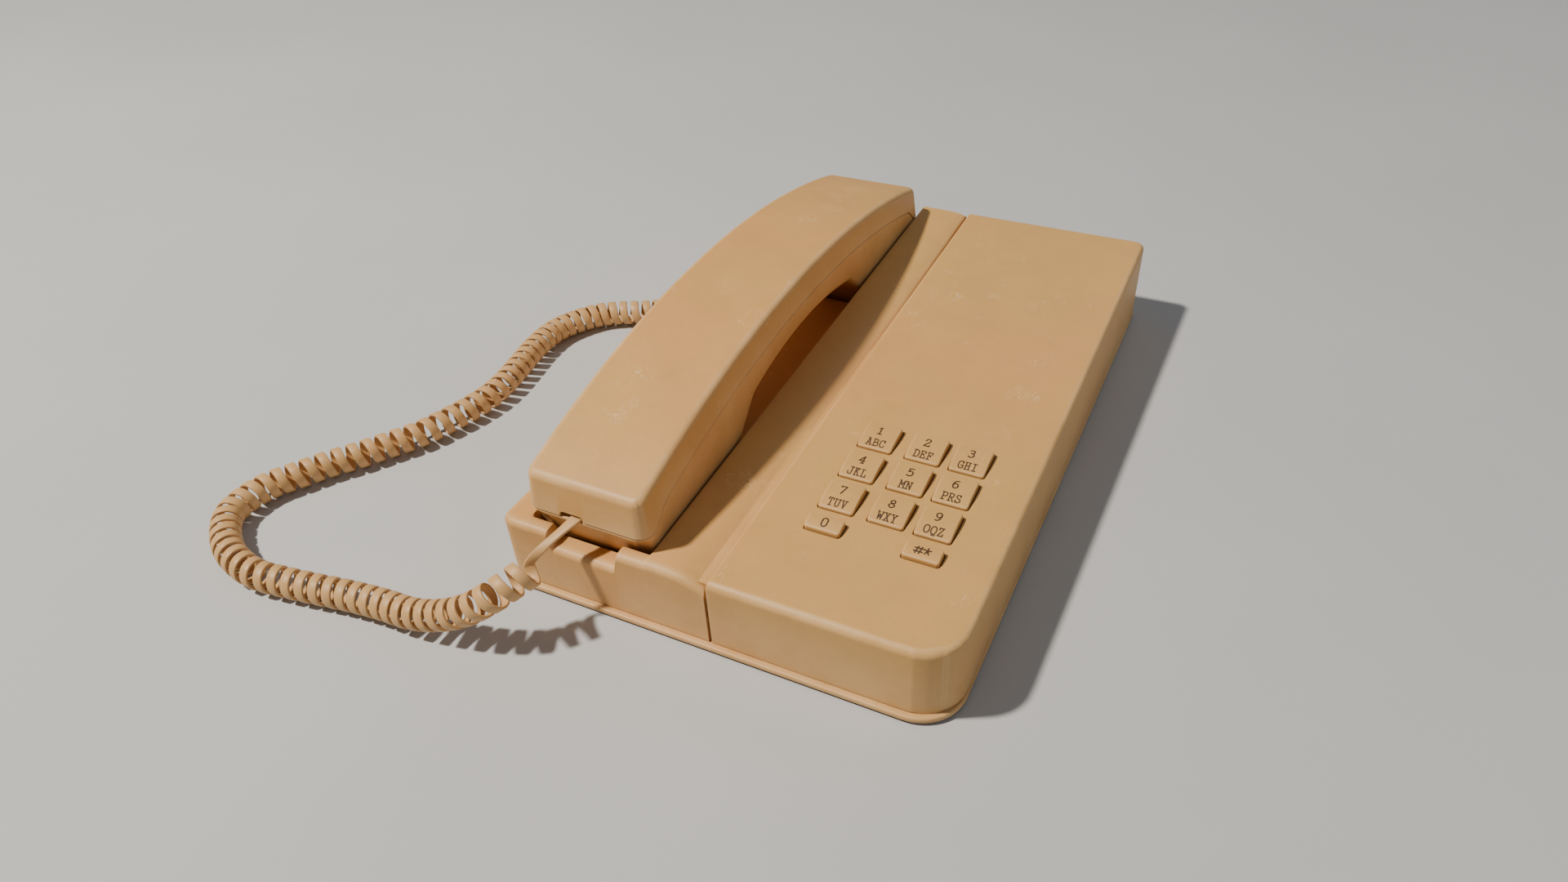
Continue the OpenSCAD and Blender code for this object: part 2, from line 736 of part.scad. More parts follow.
module handset_front() {
    color(plastic) difference() {
        union() {
            intersection() {
                difference() {
                    handset_solid(0);
                    handset_solid(shell_t);
                }
                under_parting();
            }
            intersection() {
                handset_solid(0);
                for (s = [-1, 1]) peg(handset_x, handset_y + s * handset_screw_y, 30, handset_boss_z, 4.6);
            }
        }
        for (s = [-1, 1]) {
            peg(handset_x, handset_y + s * handset_screw_y, 30, 42.6, 3.1);
            peg(handset_x, handset_y + s * handset_screw_y, 30, 50, 1.7);
        }
        peg(handset_x, handset_y + ear_y, 10, 25, 1.2);
        for (k = [0:5]) peg(
            handset_x + 5 * cos(60 * k), handset_y + ear_y + 5 * sin(60 * k), 10, 18, 1.2);
        for (k = [-2:2]) peg(handset_x + 3 * k, handset_y + mic_y, 10, 18, 0.9);
    }
}

module handset_screws() {
    color(steel) for (s = [-1, 1])
        screw_up(handset_x, handset_y + s * handset_screw_y, 40.7, 2.8, 1.5, 12);
}

module ear_gasket() {
    z = sole_z + shell_t;
    color(rubber) difference() {
        peg(handset_x, handset_y + ear_y, z, z + 1.5, 16.5);
        peg(handset_x, handset_y + ear_y, z - 1, z + 2, 12);
    }
}

module ear_capsule() {
    z = sole_z + shell_t + 1.5;
    color(steel) {
        peg(handset_x, handset_y + ear_y, z, z + 7, 16.5);
        peg(handset_x, handset_y + ear_y, z + 6, z + 11, 8);
    }
}

module mic_capsule() {
    z = sole_z + shell_t;
    color(black_part) {
        peg(handset_x, handset_y + mic_y, z, z + 4.5, 9);
        peg(handset_x, handset_y + mic_y, z + 4, z + 7, 5);
    }
}

module handset_weight() {
    color(steel) block(handset_x - 11, handset_x + 11, handset_y - 23, handset_y + 23,
        grip_top + shell_t + 0.1, grip_top + shell_t + 5);
}

module handset_wiring() {
    color([0.55, 0.12, 0.10]) {
        sweep([
            [-44, -99, 31.5], [-44, -96, 31], [-43, -92, 28], [-42.4, -88.6, 25.4]
        ], 1.5, 1.5);
        sweep([
            [-47, -98.8, 31.5], [-50, -92, 33], [-54, -78, 38], [-56, -60, 43], [-57, -40, 48], [-57.4, -15, 51],
            [-57.4, 15, 51], [-57, 40, 47], [-54, 55, 42], [-50, 66, 36], [-46, 72, 31.5]
        ], 1.5, 1.5);
    }
}

// Block that grips the lead inside the handset, with the end of the lead up to the handset's face
module cord_anchor() {
    color(plastic) {
        block(cord_x - 4.5, cord_x + 3.5, cord_face_y + 3.1, cord_face_y + 10.1, cord_z - 3.4, cord_z + 2.2);
        block(cord_x - lead_w / 2, cord_x + lead_w / 2, cord_face_y, cord_face_y + 3.5,
            cord_z - lead_t / 2, cord_z + lead_t / 2);
    }
}

// ---------- cord ----------

module cord_lead_handset() {
    color(plastic) sweep(lead_handset_route, lead_w, lead_t);
}

module cord_coil() {
    color(plastic) sweep(coil_route, coil_d, coil_d, 12);
}

module cord_lead_base() {
    color(plastic) sweep(lead_base_route, lead_w, lead_t);
}

base_tray();
cradle_cover();
keypad_cover();
rubber_feet();
cover_screws();
main_board();
board_components();
board_screws();
keypad_board();
key_dome_mat();
keypad_ribbon();
ringer();
line_jack();
line_jack_contacts();
cord_jack();
hook_plunger();
hook_spring();
hook_switch();
base_wiring();
digit_key(1);  // key_1
digit_key(2);  // key_2
digit_key(3);  // key_3
digit_key(4);  // key_4
digit_key(5);  // key_5
digit_key(6);  // key_6
digit_key(7);  // key_7
digit_key(8);  // key_8
digit_key(9);  // key_9
short_key(0);  // key_0
short_key(2);  // key_hash_star
handset_back();
handset_front();
handset_screws();
ear_capsule();
ear_gasket();
mic_capsule();
handset_weight();
handset_wiring();
cord_anchor();
cord_lead_handset();
cord_coil();
cord_lead_base();
base_plug();
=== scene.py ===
import math

import bmesh
import bpy
from mathutils import Matrix, Vector
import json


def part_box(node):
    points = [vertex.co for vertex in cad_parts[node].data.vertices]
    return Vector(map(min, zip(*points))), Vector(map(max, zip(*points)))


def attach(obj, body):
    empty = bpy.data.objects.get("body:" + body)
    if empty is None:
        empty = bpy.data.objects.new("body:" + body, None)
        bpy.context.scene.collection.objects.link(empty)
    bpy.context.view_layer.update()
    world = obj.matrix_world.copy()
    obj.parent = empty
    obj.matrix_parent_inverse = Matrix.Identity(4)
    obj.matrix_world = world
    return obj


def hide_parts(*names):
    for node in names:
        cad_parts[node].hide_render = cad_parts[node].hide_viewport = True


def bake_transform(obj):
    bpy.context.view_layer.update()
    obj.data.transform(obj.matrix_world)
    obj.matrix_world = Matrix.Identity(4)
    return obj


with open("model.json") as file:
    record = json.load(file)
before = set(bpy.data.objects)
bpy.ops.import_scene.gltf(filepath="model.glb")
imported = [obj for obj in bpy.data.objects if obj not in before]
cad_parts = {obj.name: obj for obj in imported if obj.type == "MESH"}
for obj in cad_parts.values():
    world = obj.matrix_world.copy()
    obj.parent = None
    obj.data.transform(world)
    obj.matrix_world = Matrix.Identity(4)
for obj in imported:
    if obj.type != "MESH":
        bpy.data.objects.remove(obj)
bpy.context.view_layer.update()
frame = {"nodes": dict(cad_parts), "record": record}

MM = 0.001

# ---------------------------------------------------------------- camera

CAMERA_PLACE = Vector((0.1182, -0.2850, 0.2383))
CAMERA_YAW = 0.4906
CAMERA_PITCH = 0.6668
CAMERA_ROLL = -0.0582
CAMERA_LENS = 24.44


def make_camera():
    forward = Vector((
        -math.sin(CAMERA_YAW) * math.cos(CAMERA_PITCH),
        math.cos(CAMERA_YAW) * math.cos(CAMERA_PITCH),
        -math.sin(CAMERA_PITCH),
    ))
    level = Vector((math.cos(CAMERA_YAW), math.sin(CAMERA_YAW), 0))
    upright = level.cross(forward)
    right = math.cos(CAMERA_ROLL) * level + math.sin(CAMERA_ROLL) * upright
    up = -math.sin(CAMERA_ROLL) * level + math.cos(CAMERA_ROLL) * upright
    data = bpy.data.cameras.new("camera")
    data.lens = CAMERA_LENS
    data.sensor_width = 36
    data.clip_start = 0.01
    camera = bpy.data.objects.new("camera", data)
    turn = Matrix((right, up, -forward)).transposed().to_4x4()
    camera.matrix_world = Matrix.Translation(CAMERA_PLACE) @ turn
    bpy.context.scene.collection.objects.link(camera)
    bpy.context.scene.camera = camera


make_camera()

# ---------------------------------------------------------------- shared dimensions

TRAY_LOW, TRAY_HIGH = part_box("base_tray")
COVER_LOW, COVER_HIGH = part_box("keypad_cover")
CRADLE_LOW, CRADLE_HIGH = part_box("cradle_cover")
BACK_LOW, BACK_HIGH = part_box("handset_back")
KEY_NODES = ["key_%d" % n for n in range(1, 10)] + ["key_0", "key_hash_star"]
COVER_FRONT_H = 26.5 * MM
COVER_REAR_H = 33 * MM
TILT = math.atan2(COVER_REAR_H - COVER_FRONT_H, COVER_HIGH[1] - COVER_LOW[1])
KEY_PROUD = 2 * MM


# ---------------------------------------------------------------- mesh helpers

def new_object(name, mesh):
    piece = bpy.data.objects.new(name, mesh)
    bpy.context.scene.collection.objects.link(piece)
    return piece


def mesh_from(name, points, faces):
    mesh = bpy.data.meshes.new(name)
    mesh.from_pydata([tuple(p) for p in points], [], faces)
    mesh.update()
    return mesh


def smooth_by_angle(mesh, degrees):
    """Smooth shading, with the edges that turn more than the angle kept sharp."""
    bm = bmesh.new()
    bm.from_mesh(mesh)
    limit = math.radians(degrees)
    for face in bm.faces:
        face.smooth = True
    for edge in bm.edges:
        sharp = len(edge.link_faces) != 2 or edge.calc_face_angle(math.pi) > limit
        edge.smooth = not sharp
    bm.to_mesh(mesh)
    bm.free()


def weighted_normals(piece):
    modifier = piece.modifiers.new("normals", "WEIGHTED_NORMAL")
    modifier.keep_sharp = True
    modifier.weight = 80


def bake_modifiers(piece):
    """Turns the piece's modifiers into plain mesh."""
    graph = bpy.context.evaluated_depsgraph_get()
    baked = bpy.data.meshes.new_from_object(piece.evaluated_get(graph))
    piece.modifiers.clear()
    old = piece.data
    piece.data = baked
    bpy.data.meshes.remove(old)


class Edge:
    """What a softening rule may ask about an edge."""

    def __init__(self, edge):
        a, b = (v.co for v in edge.verts)
        self.normals = [f.normal for f in edge.link_faces]
        self.x, self.y, self.z = (a + b) / 2

    def meets(self, test_a, test_b):
        n, m = self.normals
        return (test_a(n) and test_b(m)) or (test_a(m) and test_b(n))


def faces_side(n):
    return abs(n.z) < 0.35


def soft_copy(name, node, rule, widest, segments=4, inner_sharp=35):
    """A copy of a CAD node with its edges rounded. rule gives an edge's radius in mm, or 0."""
    source = frame["nodes"][node]
    bm = bmesh.new()
    bm.from_mesh(source.data)
    bmesh.ops.remove_doubles(bm, verts=bm.verts, dist=1e-6)
    bmesh.ops.dissolve_limit(bm, angle_limit=math.radians(0.5), verts=bm.verts, edges=bm.edges)
    bmesh.ops.recalc_face_normals(bm, faces=bm.faces)
    weights = bm.edges.layers.float.new("bevel_weight_edge")
    for edge in bm.edges:
        if len(edge.link_faces) != 2:
            continue
        if not edge.is_convex or edge.calc_face_angle(0) < math.radians(20):
            continue
        radius = rule(Edge(edge))
        if radius:
            edge[weights] = min(radius / widest, 1)
    mesh = bpy.data.meshes.new(name)
    bm.to_mesh(mesh)
    bm.free()
    piece = new_object(name, mesh)
    mesh.materials.clear()
    mesh.materials.append(None)
    mesh.materials.append(None)
    bevel = piece.modifiers.new("soft edges", "BEVEL")
    bevel.limit_method = "WEIGHT"
    bevel.width = widest * MM
    bevel.segments = segments
    bevel.use_clamp_overlap = False
    bevel.material = 1
    bake_modifiers(piece)
    mark_wear(piece.data)
    smooth_by_angle(piece.data, inner_sharp)
    weighted_normals(piece)
    return piece


def mark_wear(mesh):
    """Stores where the rounded edges are, for the material, puts every face on the first index and clears the
    material slots.
    """
    wear = mesh.attributes.new("edge_wear", "FLOAT", "POINT")
    for face in mesh.polygons:
        if face.material_index == 1:
            for v in face.vertices:
                wear.data[v].value = 1
        face.material_index = 0
    mesh.materials.clear()


def catmull(points, steps):
    """A smooth line through the points, with steps pieces between each pair."""
    line = []
    for i in range(len(points) - 1):
        before = points[max(i - 1, 0)]
        a, b = points[i], points[i + 1]
        after = points[min(i + 2, len(points) - 1)]
        for k in range(steps):
            t = k / steps
            line.append(
                0.5 * (2 * a + (b - before) * t
                       + (2 * before - 5 * a + 4 * b - after) * t ** 2
                       + (3 * a - before - 3 * b + after) * t ** 3))
    line.append(points[-1].copy())
    return line


def even_line(points, gap):
    """The same line with its points an even distance apart."""
    lengths = [0]
    for a, b in zip(points, points[1:]):
        lengths.append(lengths[-1] + (b - a).length)
    count = max(2, round(lengths[-1] / gap))
    out, k = [], 0
    for i in range(count + 1):
        want = lengths[-1] * i / count
        while k < len(points) - 2 and lengths[k + 1] < want:
            k += 1
        span = lengths[k + 1] - lengths[k]
        t = (want - lengths[k]) / span if span else 0
        out.append(points[k].lerp(points[k + 1], min(max(t, 0), 1)))
    return out


def line_length(points):
    return sum((b - a).length for a, b in zip(points, points[1:]))


def carried_frames(points, first_up):
    """Tangent and up directions carried along a line without twisting."""
    tangents = []
    for i in range(len(points)):
        a = points[max(i - 1, 0)]
        b = points[min(i + 1, len(points) - 1)]
        tangents.append((b - a).normalized())
    up = first_up
    ups = []
    for t in tangents:
        up = (up - t * up.dot(t)).normalized()
        ups.append(up)
    return tangents, ups


def strip_mesh(name, centres, along, out, widths, thicknesses):
    """A flat strip with rounded edges: out is its thickness direction, and along the line it follows."""
    corners = []
    for sx, sy in ((1, 1), (-1, 1), (-1, -1), (1, -1)):
        for turn in (0.15, 0.5, 0.85):
            angle = math.atan2(sy, sx) - math.pi / 4 + turn * math.pi / 2
            corners.append((sx, sy, math.cos(angle), math.sin(angle)))
    points = []
    for c, t, o, w, h in zip(centres, along, out, widths, thicknesses):
        side = t.cross(o).normalized()
        r = 0.42 * h
        for sx, sy, cx, cy in corners:
            points.append(c + side * (sx * (w / 2 - r) + r * cx) + o * (sy * (h / 2 - r) + r * cy))
    n = len(corners)
    faces = [tuple(range(n - 1, -1, -1))]
    for i in range(len(centres) - 1):
        for k in range(n):
            m = (k + 1) % n
            faces.append((i * n + k, i * n + m, (i + 1) * n + m, (i + 1) * n + k))
    faces.append(tuple(range((len(centres) - 1) * n, len(centres) * n)))
    mesh = mesh_from(name, points, faces)
    fix = bmesh.new()
    fix.from_mesh(mesh)
    bmesh.ops.recalc_face_normals(fix, faces=fix.faces)
    fix.to_mesh(mesh)
    fix.free()
    smooth_by_angle(mesh, 60)
    return mesh


# ---------------------------------------------------------------- cord

COIL_D = 9.8 * MM
RIBBON_W = 3.2 * MM
RIBBON_T = 0.95 * MM
COIL_R = (COIL_D - RIBBON_T) / 2
TURN_STEPS = 26
# How much narrower a lead is at its middle
WAIST = 0.9 * MM
BASE_EXIT = Vector((-72.4, 46, 8)) * MM
HANDSET_EXIT = Vector((-45, -109.5, 32.2)) * MM

COIL_ROUTE = [
    (-92, 45, 5.6), (-103, 40, 5), (-114, 33, 5), (-125, 28, 5), (-132, 23, 5),
    (-138, 15, 5), (-142, 5, 5), (-142, -8, 5), (-140, -20, 5), (-138, -33, 5),
    (-138, -43, 5), (-140, -53, 5), (-143, -62, 5), (-147, -72, 5), (-153, -81, 5),
    (-159, -90, 5), (-166, -99, 5), (-171, -107, 5), (-176, -115, 5), (-178, -123, 5),
    (-177, -132, 5), (-170, -140, 5), (-160, -146, 5), (-147, -149, 5), (-135, -148, 5),
    (-122, -146, 5), (-110, -144, 5), (-98, -143, 5.5), (-87, -143, 6.5), (-77, -142, 9),
    (-66.4, -140.4, 14.2), (-58, -137, 20), (-53.9, -132.3, 22.6), (-50.3, -127, 24.6),
]
# Pitch of the coil, in mm, at fractions of the way from the base to the handset
PITCHES = [
    (0, 4.9), (0.08, 4.9), (0.13, 4.3), (0.2, 4.3), (0.3, 4.9), (0.38, 5.3), (0.5, 5.3),
    (0.56, 4.6), (0.64, 4.6), (0.7, 5.2), (0.78, 4.9), (0.85, 4.3), (0.91, 5), (1, 5.6),
]
START_ANGLE = math.radians(-20)
END_ANGLE = math.radians(282)


def pitch_at(part):
    for (a, low), (b, high) in zip(PITCHES, PITCHES[1:]):
        if part <= b:
            return (low + (high - low) * (part - a) / (b - a)) * MM
    return PITCHES[-1][1] * MM


def make_cord():
    axis = even_line(catmull([Vector(p) * MM for p in COIL_ROUTE], 8), 0.8 * MM)
    length = line_length(axis)
    tangents, ups = carried_frames(axis, Vector((0, 0, 1)))
    gap = length / (len(axis) - 1)
    centres, along, out = [], [], []
    travelled, turns = 0, 0
    while travelled < length:
        travelled += pitch_at(travelled / length) / TURN_STEPS
        turns += 1 / TURN_STEPS
    extra = (END_ANGLE - START_ANGLE) / (2 * math.pi)
    stretch = turns / (round(turns - extra) + extra)
    travelled, angle = 0, START_ANGLE
    while travelled < length:
        i = min(int(travelled / gap), len(axis) - 2)
        t = travelled / gap - i
        centre = axis[i].lerp(axis[i + 1], t)
        tangent = tangents[i].lerp(tangents[i + 1], t).normalized()
        up = ups[i].lerp(ups[i + 1], t).normalized()
        side = tangent.cross(up)
        radial = up * math.cos(angle) + side * math.sin(angle)
        centres.append(centre + radial * COIL_R)
        out.append(radial)
        travelled += stretch * pitch_at(travelled / length) / TURN_STEPS
        angle += 2 * math.pi / TURN_STEPS
    for i in range(len(centres)):
        a = centres[max(i - 1, 0)]
        b = centres[min(i + 1, len(centres) - 1)]
        along.append((b - a).normalized())
    unrolled = line_length(centres)
    widths = [RIBBON_W] * len(centres)
    thicknesses = [RIBBON_T] * len(centres)
    coil = new_object("curly_cord", strip_mesh("curly_cord", centres, along, out, widths, thicknesses))
    ends = ((centres[0], -along[0], out[0]), (centres[-1], along[-1], out[-1]))
    return coil, axis, length, unrolled, ends


LEAD_STEPS = 24


def make_lead(name, start, end, heading_end, width_end, pull):
    """A flat lead from the coil's last turn to an exit, turning from the coil's lie to level.

    pull says how far it first runs on in the coil's direction.
    """
    place, heading, out = start
    reach = (end - place).length
    route = []
    for k in range(LEAD_STEPS + 1):
        t = k / LEAD_STEPS
        a = place + heading * reach * pull * t
        b = end - heading_end * reach * 0.6 * (1 - t)
        ease = t * t * (3 - 2 * t)
        route.append(a.lerp(b, ease))
    tangents, ups = carried_frames(route, out)
    outs = []
    flat = Vector((0, 0, 1)) if ups[-1].z >= 0 else Vector((0, 0, -1))
    for k, (t, u) in enumerate(zip(tangents, ups)):
        part = min(1, k / 18)
        ease = part * part * (3 - 2 * part)
        o = u.lerp(flat, ease)
        outs.append((o - t * o.dot(t)).normalized())
    widths = []
    for k in range(LEAD_STEPS + 1):
        t = k / LEAD_STEPS
        widths.append(RIBBON_W + (width_end - RIBBON_W) * t - WAIST * math.sin(math.pi * k / LEAD_STEPS))
    thicknesses = [RIBBON_T] * (LEAD_STEPS + 1)
    return new_object(name, strip_mesh(name, route, tangents, outs, widths, thicknesses))


coil, coil_axis, coil_length, coil_unrolled, coil_ends = make_cord()
base_lead = make_lead("base_lead", coil_ends[0], BASE_EXIT, Vector((1, 0, 0)), 3.6 * MM, 0.5)
handset_lead = make_lead("handset_lead", coil_ends[1], HANDSET_EXIT, Vector((0, 1, 0)), 4.2 * MM, 0.2)
print("coil axis length %.3f m, ribbon %.3f m" % (coil_length, coil_unrolled))

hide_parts("cord_coil")
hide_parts("cord_lead_base")
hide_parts("cord_lead_handset")
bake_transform(coil)
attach(base_lead, "base")
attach(handset_lead, "handset")


def near(a, b, reach=0.3):
    return abs(a - b) < reach * MM


# ---------------------------------------------------------------- shells made on a plan grid


def graded(low, high, gap, features=(), fine=(0.12, 0.3, 0.55, 0.9, 1.4)):
    """Grid lines from low to high, with extra ones beside each end and each feature."""
    lines = {low, high}
    count = max(1, round((high - low) / gap))
    for i in range(1, count):
        lines.add(low + (high - low) * i / count)
    for f in fine:
        lines.add(low + f)
        lines.add(high - f)
    for centre in features:
        for f in (0,) + tuple(fine[:4]):
            lines.update((centre - f, centre + f))
    kept = [low]
    for line in sorted(v for v in lines if low < v < high):
        if line - kept[-1] > 0.07 and high - line > 0.07:
            kept.append(line)
    return kept + [high]


def rounded_place(u, v, plan, radii):
    """A plan point pulled in to the rounded corners, and its distance from the outline."""
    x0, x1, y0, y1 = plan
    left, front = u - x0, v - y0
    right, back = x1 - u, y1 - v
    near_left, near_front = left < right, front < back
    corner = (0 if near_left else 1) if near_front else (3 if near_left else 2)
    r = radii[corner]
    du, dv = min(left, right), min(front, back)
    if du < r and dv < r:
        a, b = r - du, r - dv
        reach = math.hypot(a, b)
        shrink = max(a, b) / reach if reach else 1
        du, dv = r - a * shrink, r - b * shrink
        u = x0 + du if near_left else x1 - du
        v = y0 + dv if near_front else y1 - dv
    return u, v


def drop(d, r):
    """How far a rounded edge of radius r has fallen at a distance d inside the outline."""
    return 0.0 if d >= r else r - math.sqrt(max(0.0, r * r - (r - d) ** 2))


def step(low, high, value):
    t = min(1.0, max(0.0, (value - low) / (high - low)))
    return t * t * (3 - 2 * t)


def metres(x, y, z):
    return (x * MM, y * MM, z * MM)


class Shell:
    """A moulded shell over a rounded rectangle: a skin, walls to a rim, and an inner skin one wall inside."""

    def __init__(self, plan, radii, xs, ys):
        self.plan, self.radii, self.xs, self.ys = plan, radii, xs, ys
        self.points, self.faces, self.wear = [], [], []

    def add(self, x, y, z, wear=0.0):
        self.points.append(metres(x, y, z))
        self.wear.append(wear)
        return len(self.points) - 1

    def skin(self, height, inset, flip):
        x0, x1, y0, y1 = self.plan
        inner = (x0 + inset[0], x1 - inset[1], y0 + inset[2], y1 - inset[3])
        radii = [max(r - min(inset), 0.0) if r else 0.0 for r in self.radii]
        grid = []
        for v in self.ys:
            b = inner[2] + (v - y0) * (inner[3] - inner[2]) / (y1 - y0)
            row = []
            for u in self.xs:
                a = inner[0] + (u - x0) * (inner[1] - inner[0]) / (x1 - x0)
                x, y = rounded_place(a, b, inner, radii)
                sides = (a - inner[0], inner[1] - a, b - inner[2], inner[3] - b)
                z, wear = height(x, y, sides)
                row.append(self.add(x, y, z, wear))
            grid.append(row)
        for j in range(len(grid) - 1):
            for i in range(len(grid[0]) - 1):
                quad = (grid[j][i], grid[j][i + 1], grid[j + 1][i + 1], grid[j + 1][i])
                self.faces.append(quad[::-1] if flip else quad)
        loop = list(grid[0]) + [row[-1] for row in grid[1:]]
        loop += list(reversed(grid[-1]))[1:] + [row[0] for row in reversed(grid[1:-1])]
        return loop

    def ring(self, loop, place, wear=0.0):
        return [self.add(*place(*(c / MM for c in self.points[k])), wear) for k in loop]

    def wall(self, upper, lower, flip):
        n = len(upper)
        for k in range(n):
            m = (k + 1) % n
            quad = (upper[k], lower[k], lower[m], upper[m])
            self.faces.append(quad[::-1] if flip else quad)

    def mesh(self, name):
        mesh = mesh_from(name, self.points, self.faces)
        wear = mesh.attributes.new("edge_wear", "FLOAT", "POINT")
        for k, value in enumerate(self.wear):
            wear.data[k].value = value
        bm = bmesh.new()
        bm.from_mesh(mesh)
        bmesh.ops.remove_doubles(bm, verts=bm.verts, dist=1e-6)
        bmesh.ops.recalc_face_normals(bm, faces=bm.faces)
        bm.to_mesh(mesh)
        bm.free()
        return mesh


def spread(shell, points, outset):
    """Moves points outward from the plan's outline, by outset(x, y, z) at the edge and less inside it."""
    x0, x1, y0, y1 = shell.plan
    r = shell.radii[0]
    for k in points:
        x, y, z = (c / MM for c in shell.points[k])
        dx = x - min(max(x, x0 + r), x1 - r)
        dy = y - min(max(y, y0 + r), y1 - r)
        reach = math.hypot(dx, dy)
        if reach > 0:
            amount = outset(x, y, z) * min(1, reach / r) / reach
            shell.points[k] = metres(x + dx * amount, y + dy * amount, z)


def make_shell(name, plan, radii, xs, ys, outer, rim, inner, inset, down=False, chamfer=0.3, outset=None):
    """down is for a shell whose skin is underneath; outset says how far its outside spreads at a height."""
    shell = Shell(plan, radii, xs, ys)
    toward = -1 if down else 1
    loop = shell.skin(outer, (0, 0, 0, 0), down)
    skin_end = len(shell.points)
    inside = shell.skin(inner, inset, not down)
    edge_start = len(shell.points)
    edge = shell.ring(loop, lambda x, y, z: (x, y, rim(x, y) + toward * chamfer), 1.0)
    x0, x1, y0, y1 = plan

    def tucked(x, y, z):
        px = x + chamfer * ((x < x0 + 1) - (x > x1 - 1))
        py = y + chamfer * ((y < y0 + 1) - (y > y1 - 1))
        return px, py, rim(x, y)

    lip = shell.ring(edge, tucked, 1.0)
    if outset:
        spread(shell, range(skin_end), outset)
        spread(shell, range(edge_start, len(shell.points)), outset)
    inner_lip = shell.ring(inside, lambda x, y, z: (x, y, rim(x, y)))
    shell.wall(loop, edge, down)
    shell.wall(edge, lip, down)
    shell.wall(lip, inner_lip, down)
    shell.wall(inner_lip, inside, down)
    return new_object(name, shell.mesh(name))


def finish_shell(piece, degrees=40):
    smooth_by_angle(piece.data, degrees)
    weighted_normals(piece)
    return piece


class Solids:
    """Simple closed solids gathered into one mesh, for cutting or joining."""

    def __init__(self):
        self.points, self.faces = [], []

    def stack(self, loops):
        """Loops of points in mm, one above the other, closed at both ends."""
        start, n = len(self.points), len(loops[0])
        for loop in loops:
            self.points.extend((x * MM, y * MM, z * MM) for x, y, z in loop)
        self.faces.append(tuple(start + k for k in reversed(range(n))))
        for i in range(len(loops) - 1):
            for k in range(n):
                m = (k + 1) % n
                a, b = start + i * n, start + (i + 1) * n
                self.faces.append((a + k, a + m, b + m, b + k))
        self.faces.append(tuple(start + (len(loops) - 1) * n + k for k in range(n)))

    def box(self, x0, x1, y0, y1, z0, z1):
        corners = ((x0, y0), (x1, y0), (x1, y1), (x0, y1))
        self.stack([[(x, y, z) for x, y in corners] for z in (z0, z1)])

    def peg(self, x, y, z0, z1, r, sides=40):
        ring = [(x + r * math.cos(2 * math.pi * k / sides), y + r * math.sin(2 * math.pi * k / sides))
                for k in range(sides)]
        self.stack([[(a, b, z) for a, b in ring] for z in (z0, z1)])

    def mesh(self, name):
        mesh = mesh_from(name, self.points, self.faces)
        bm = bmesh.new()
        bm.from_mesh(mesh)
        bmesh.ops.recalc_face_normals(bm, faces=bm.faces)
        bm.to_mesh(mesh)
        bm.free()
        return mesh


def combine(piece, solids, operation):
    """Cuts the solids out of the piece, or joins them to it."""
    tool = new_object(piece.name + "_tool", solids.mesh(piece.name + "_tool"))
    modifier = piece.modifiers.new("shape", "BOOLEAN")
    modifier.operation = operation
    modifier.solver = "EXACT"
    modifier.object = tool
    bake_modifiers(piece)
    mesh = tool.data
    bpy.data.objects.remove(tool)
    bpy.data.meshes.remove(mesh)


def outline(x0, x1, y0, y1, r, steps=5):
    """Points round a rectangle with rounded corners."""
    points = []
    centres = (x0 + r, y0 + r, 180), (x1 - r, y0 + r, 270), (x1 - r, y1 - r, 0), (x0 + r, y1 - r, 90)
    for cx, cy, start in centres:
        for k in range(steps + 1):
            a = math.radians(start + 90 * k / steps)
            points.append((cx + r * math.cos(a), cy + r * math.sin(a)))
    return points


def panel(x, v, w):
    """A point of the keypad panel's own frame, in mm: v up the slope from the front edge, w out of it."""
    return (
        x,
        PANEL_FRONT + v * math.cos(TILT) - w * math.sin(TILT),
        COVER_FRONT_H / MM + v * math.sin(TILT) + w * math.cos(TILT),
    )


# ---------------------------------------------------------------- housing

# Sizes are in mm from here on
PANEL_FRONT = COVER_LOW[1] / MM
PANEL_REAR = COVER_HIGH[1] / MM
RIM_Z = COVER_LOW[2] / MM
COVER_T = 2.2
CORNER_R = 4
FRONT_RIGHT_R = 14
# The groove between the two covers
SEAM_LEFT = -1.7
SEAM_RIGHT = -0.7
COVER_EDGE_R = 2.0
FRONT_EDGE_R = 2.4
SEAM_EDGE_R = 0.9
LOBE_H = 26
POCKET_LEFT, POCKET_RIGHT = -62.7, -21.3
NOTCH_LEFT, NOTCH_RIGHT = -54.6, -31.1
NOTCH_Z = 20
RAMP_R = 40.5
RAMP_FRONT_DROP, RAMP_REAR_DROP = 1.2, 3.6
POCKET_SIDE = [
    (-108.66, 26), (-105.3, 15), (-52, 15), (-50, 21), (48, 21), (50, 15), (103.3, 15), (106.66, 26),
]


def top_plane(y):
    return COVER_FRONT_H / MM + (y - PANEL_FRONT) * math.tan(TILT)


def edges_drop(sides, radii):
    """The fall and the wear where the top rolls over each side's edge."""
    fall, wear = 0.0, 0.0
    for d, r in zip(sides, radii):
        if d < r:
            fall = max(fall, drop(d, r))
            wear = max(wear, math.sin(math.pi * min(1, d / r)) ** 0.5)
    return fall, wear


def keypad_outer(x, y, sides):
    fall, wear = edges_drop(sides, (SEAM_EDGE_R, COVER_EDGE_R, FRONT_EDGE_R, COVER_EDGE_R))
    return top_plane(y) - fall, wear


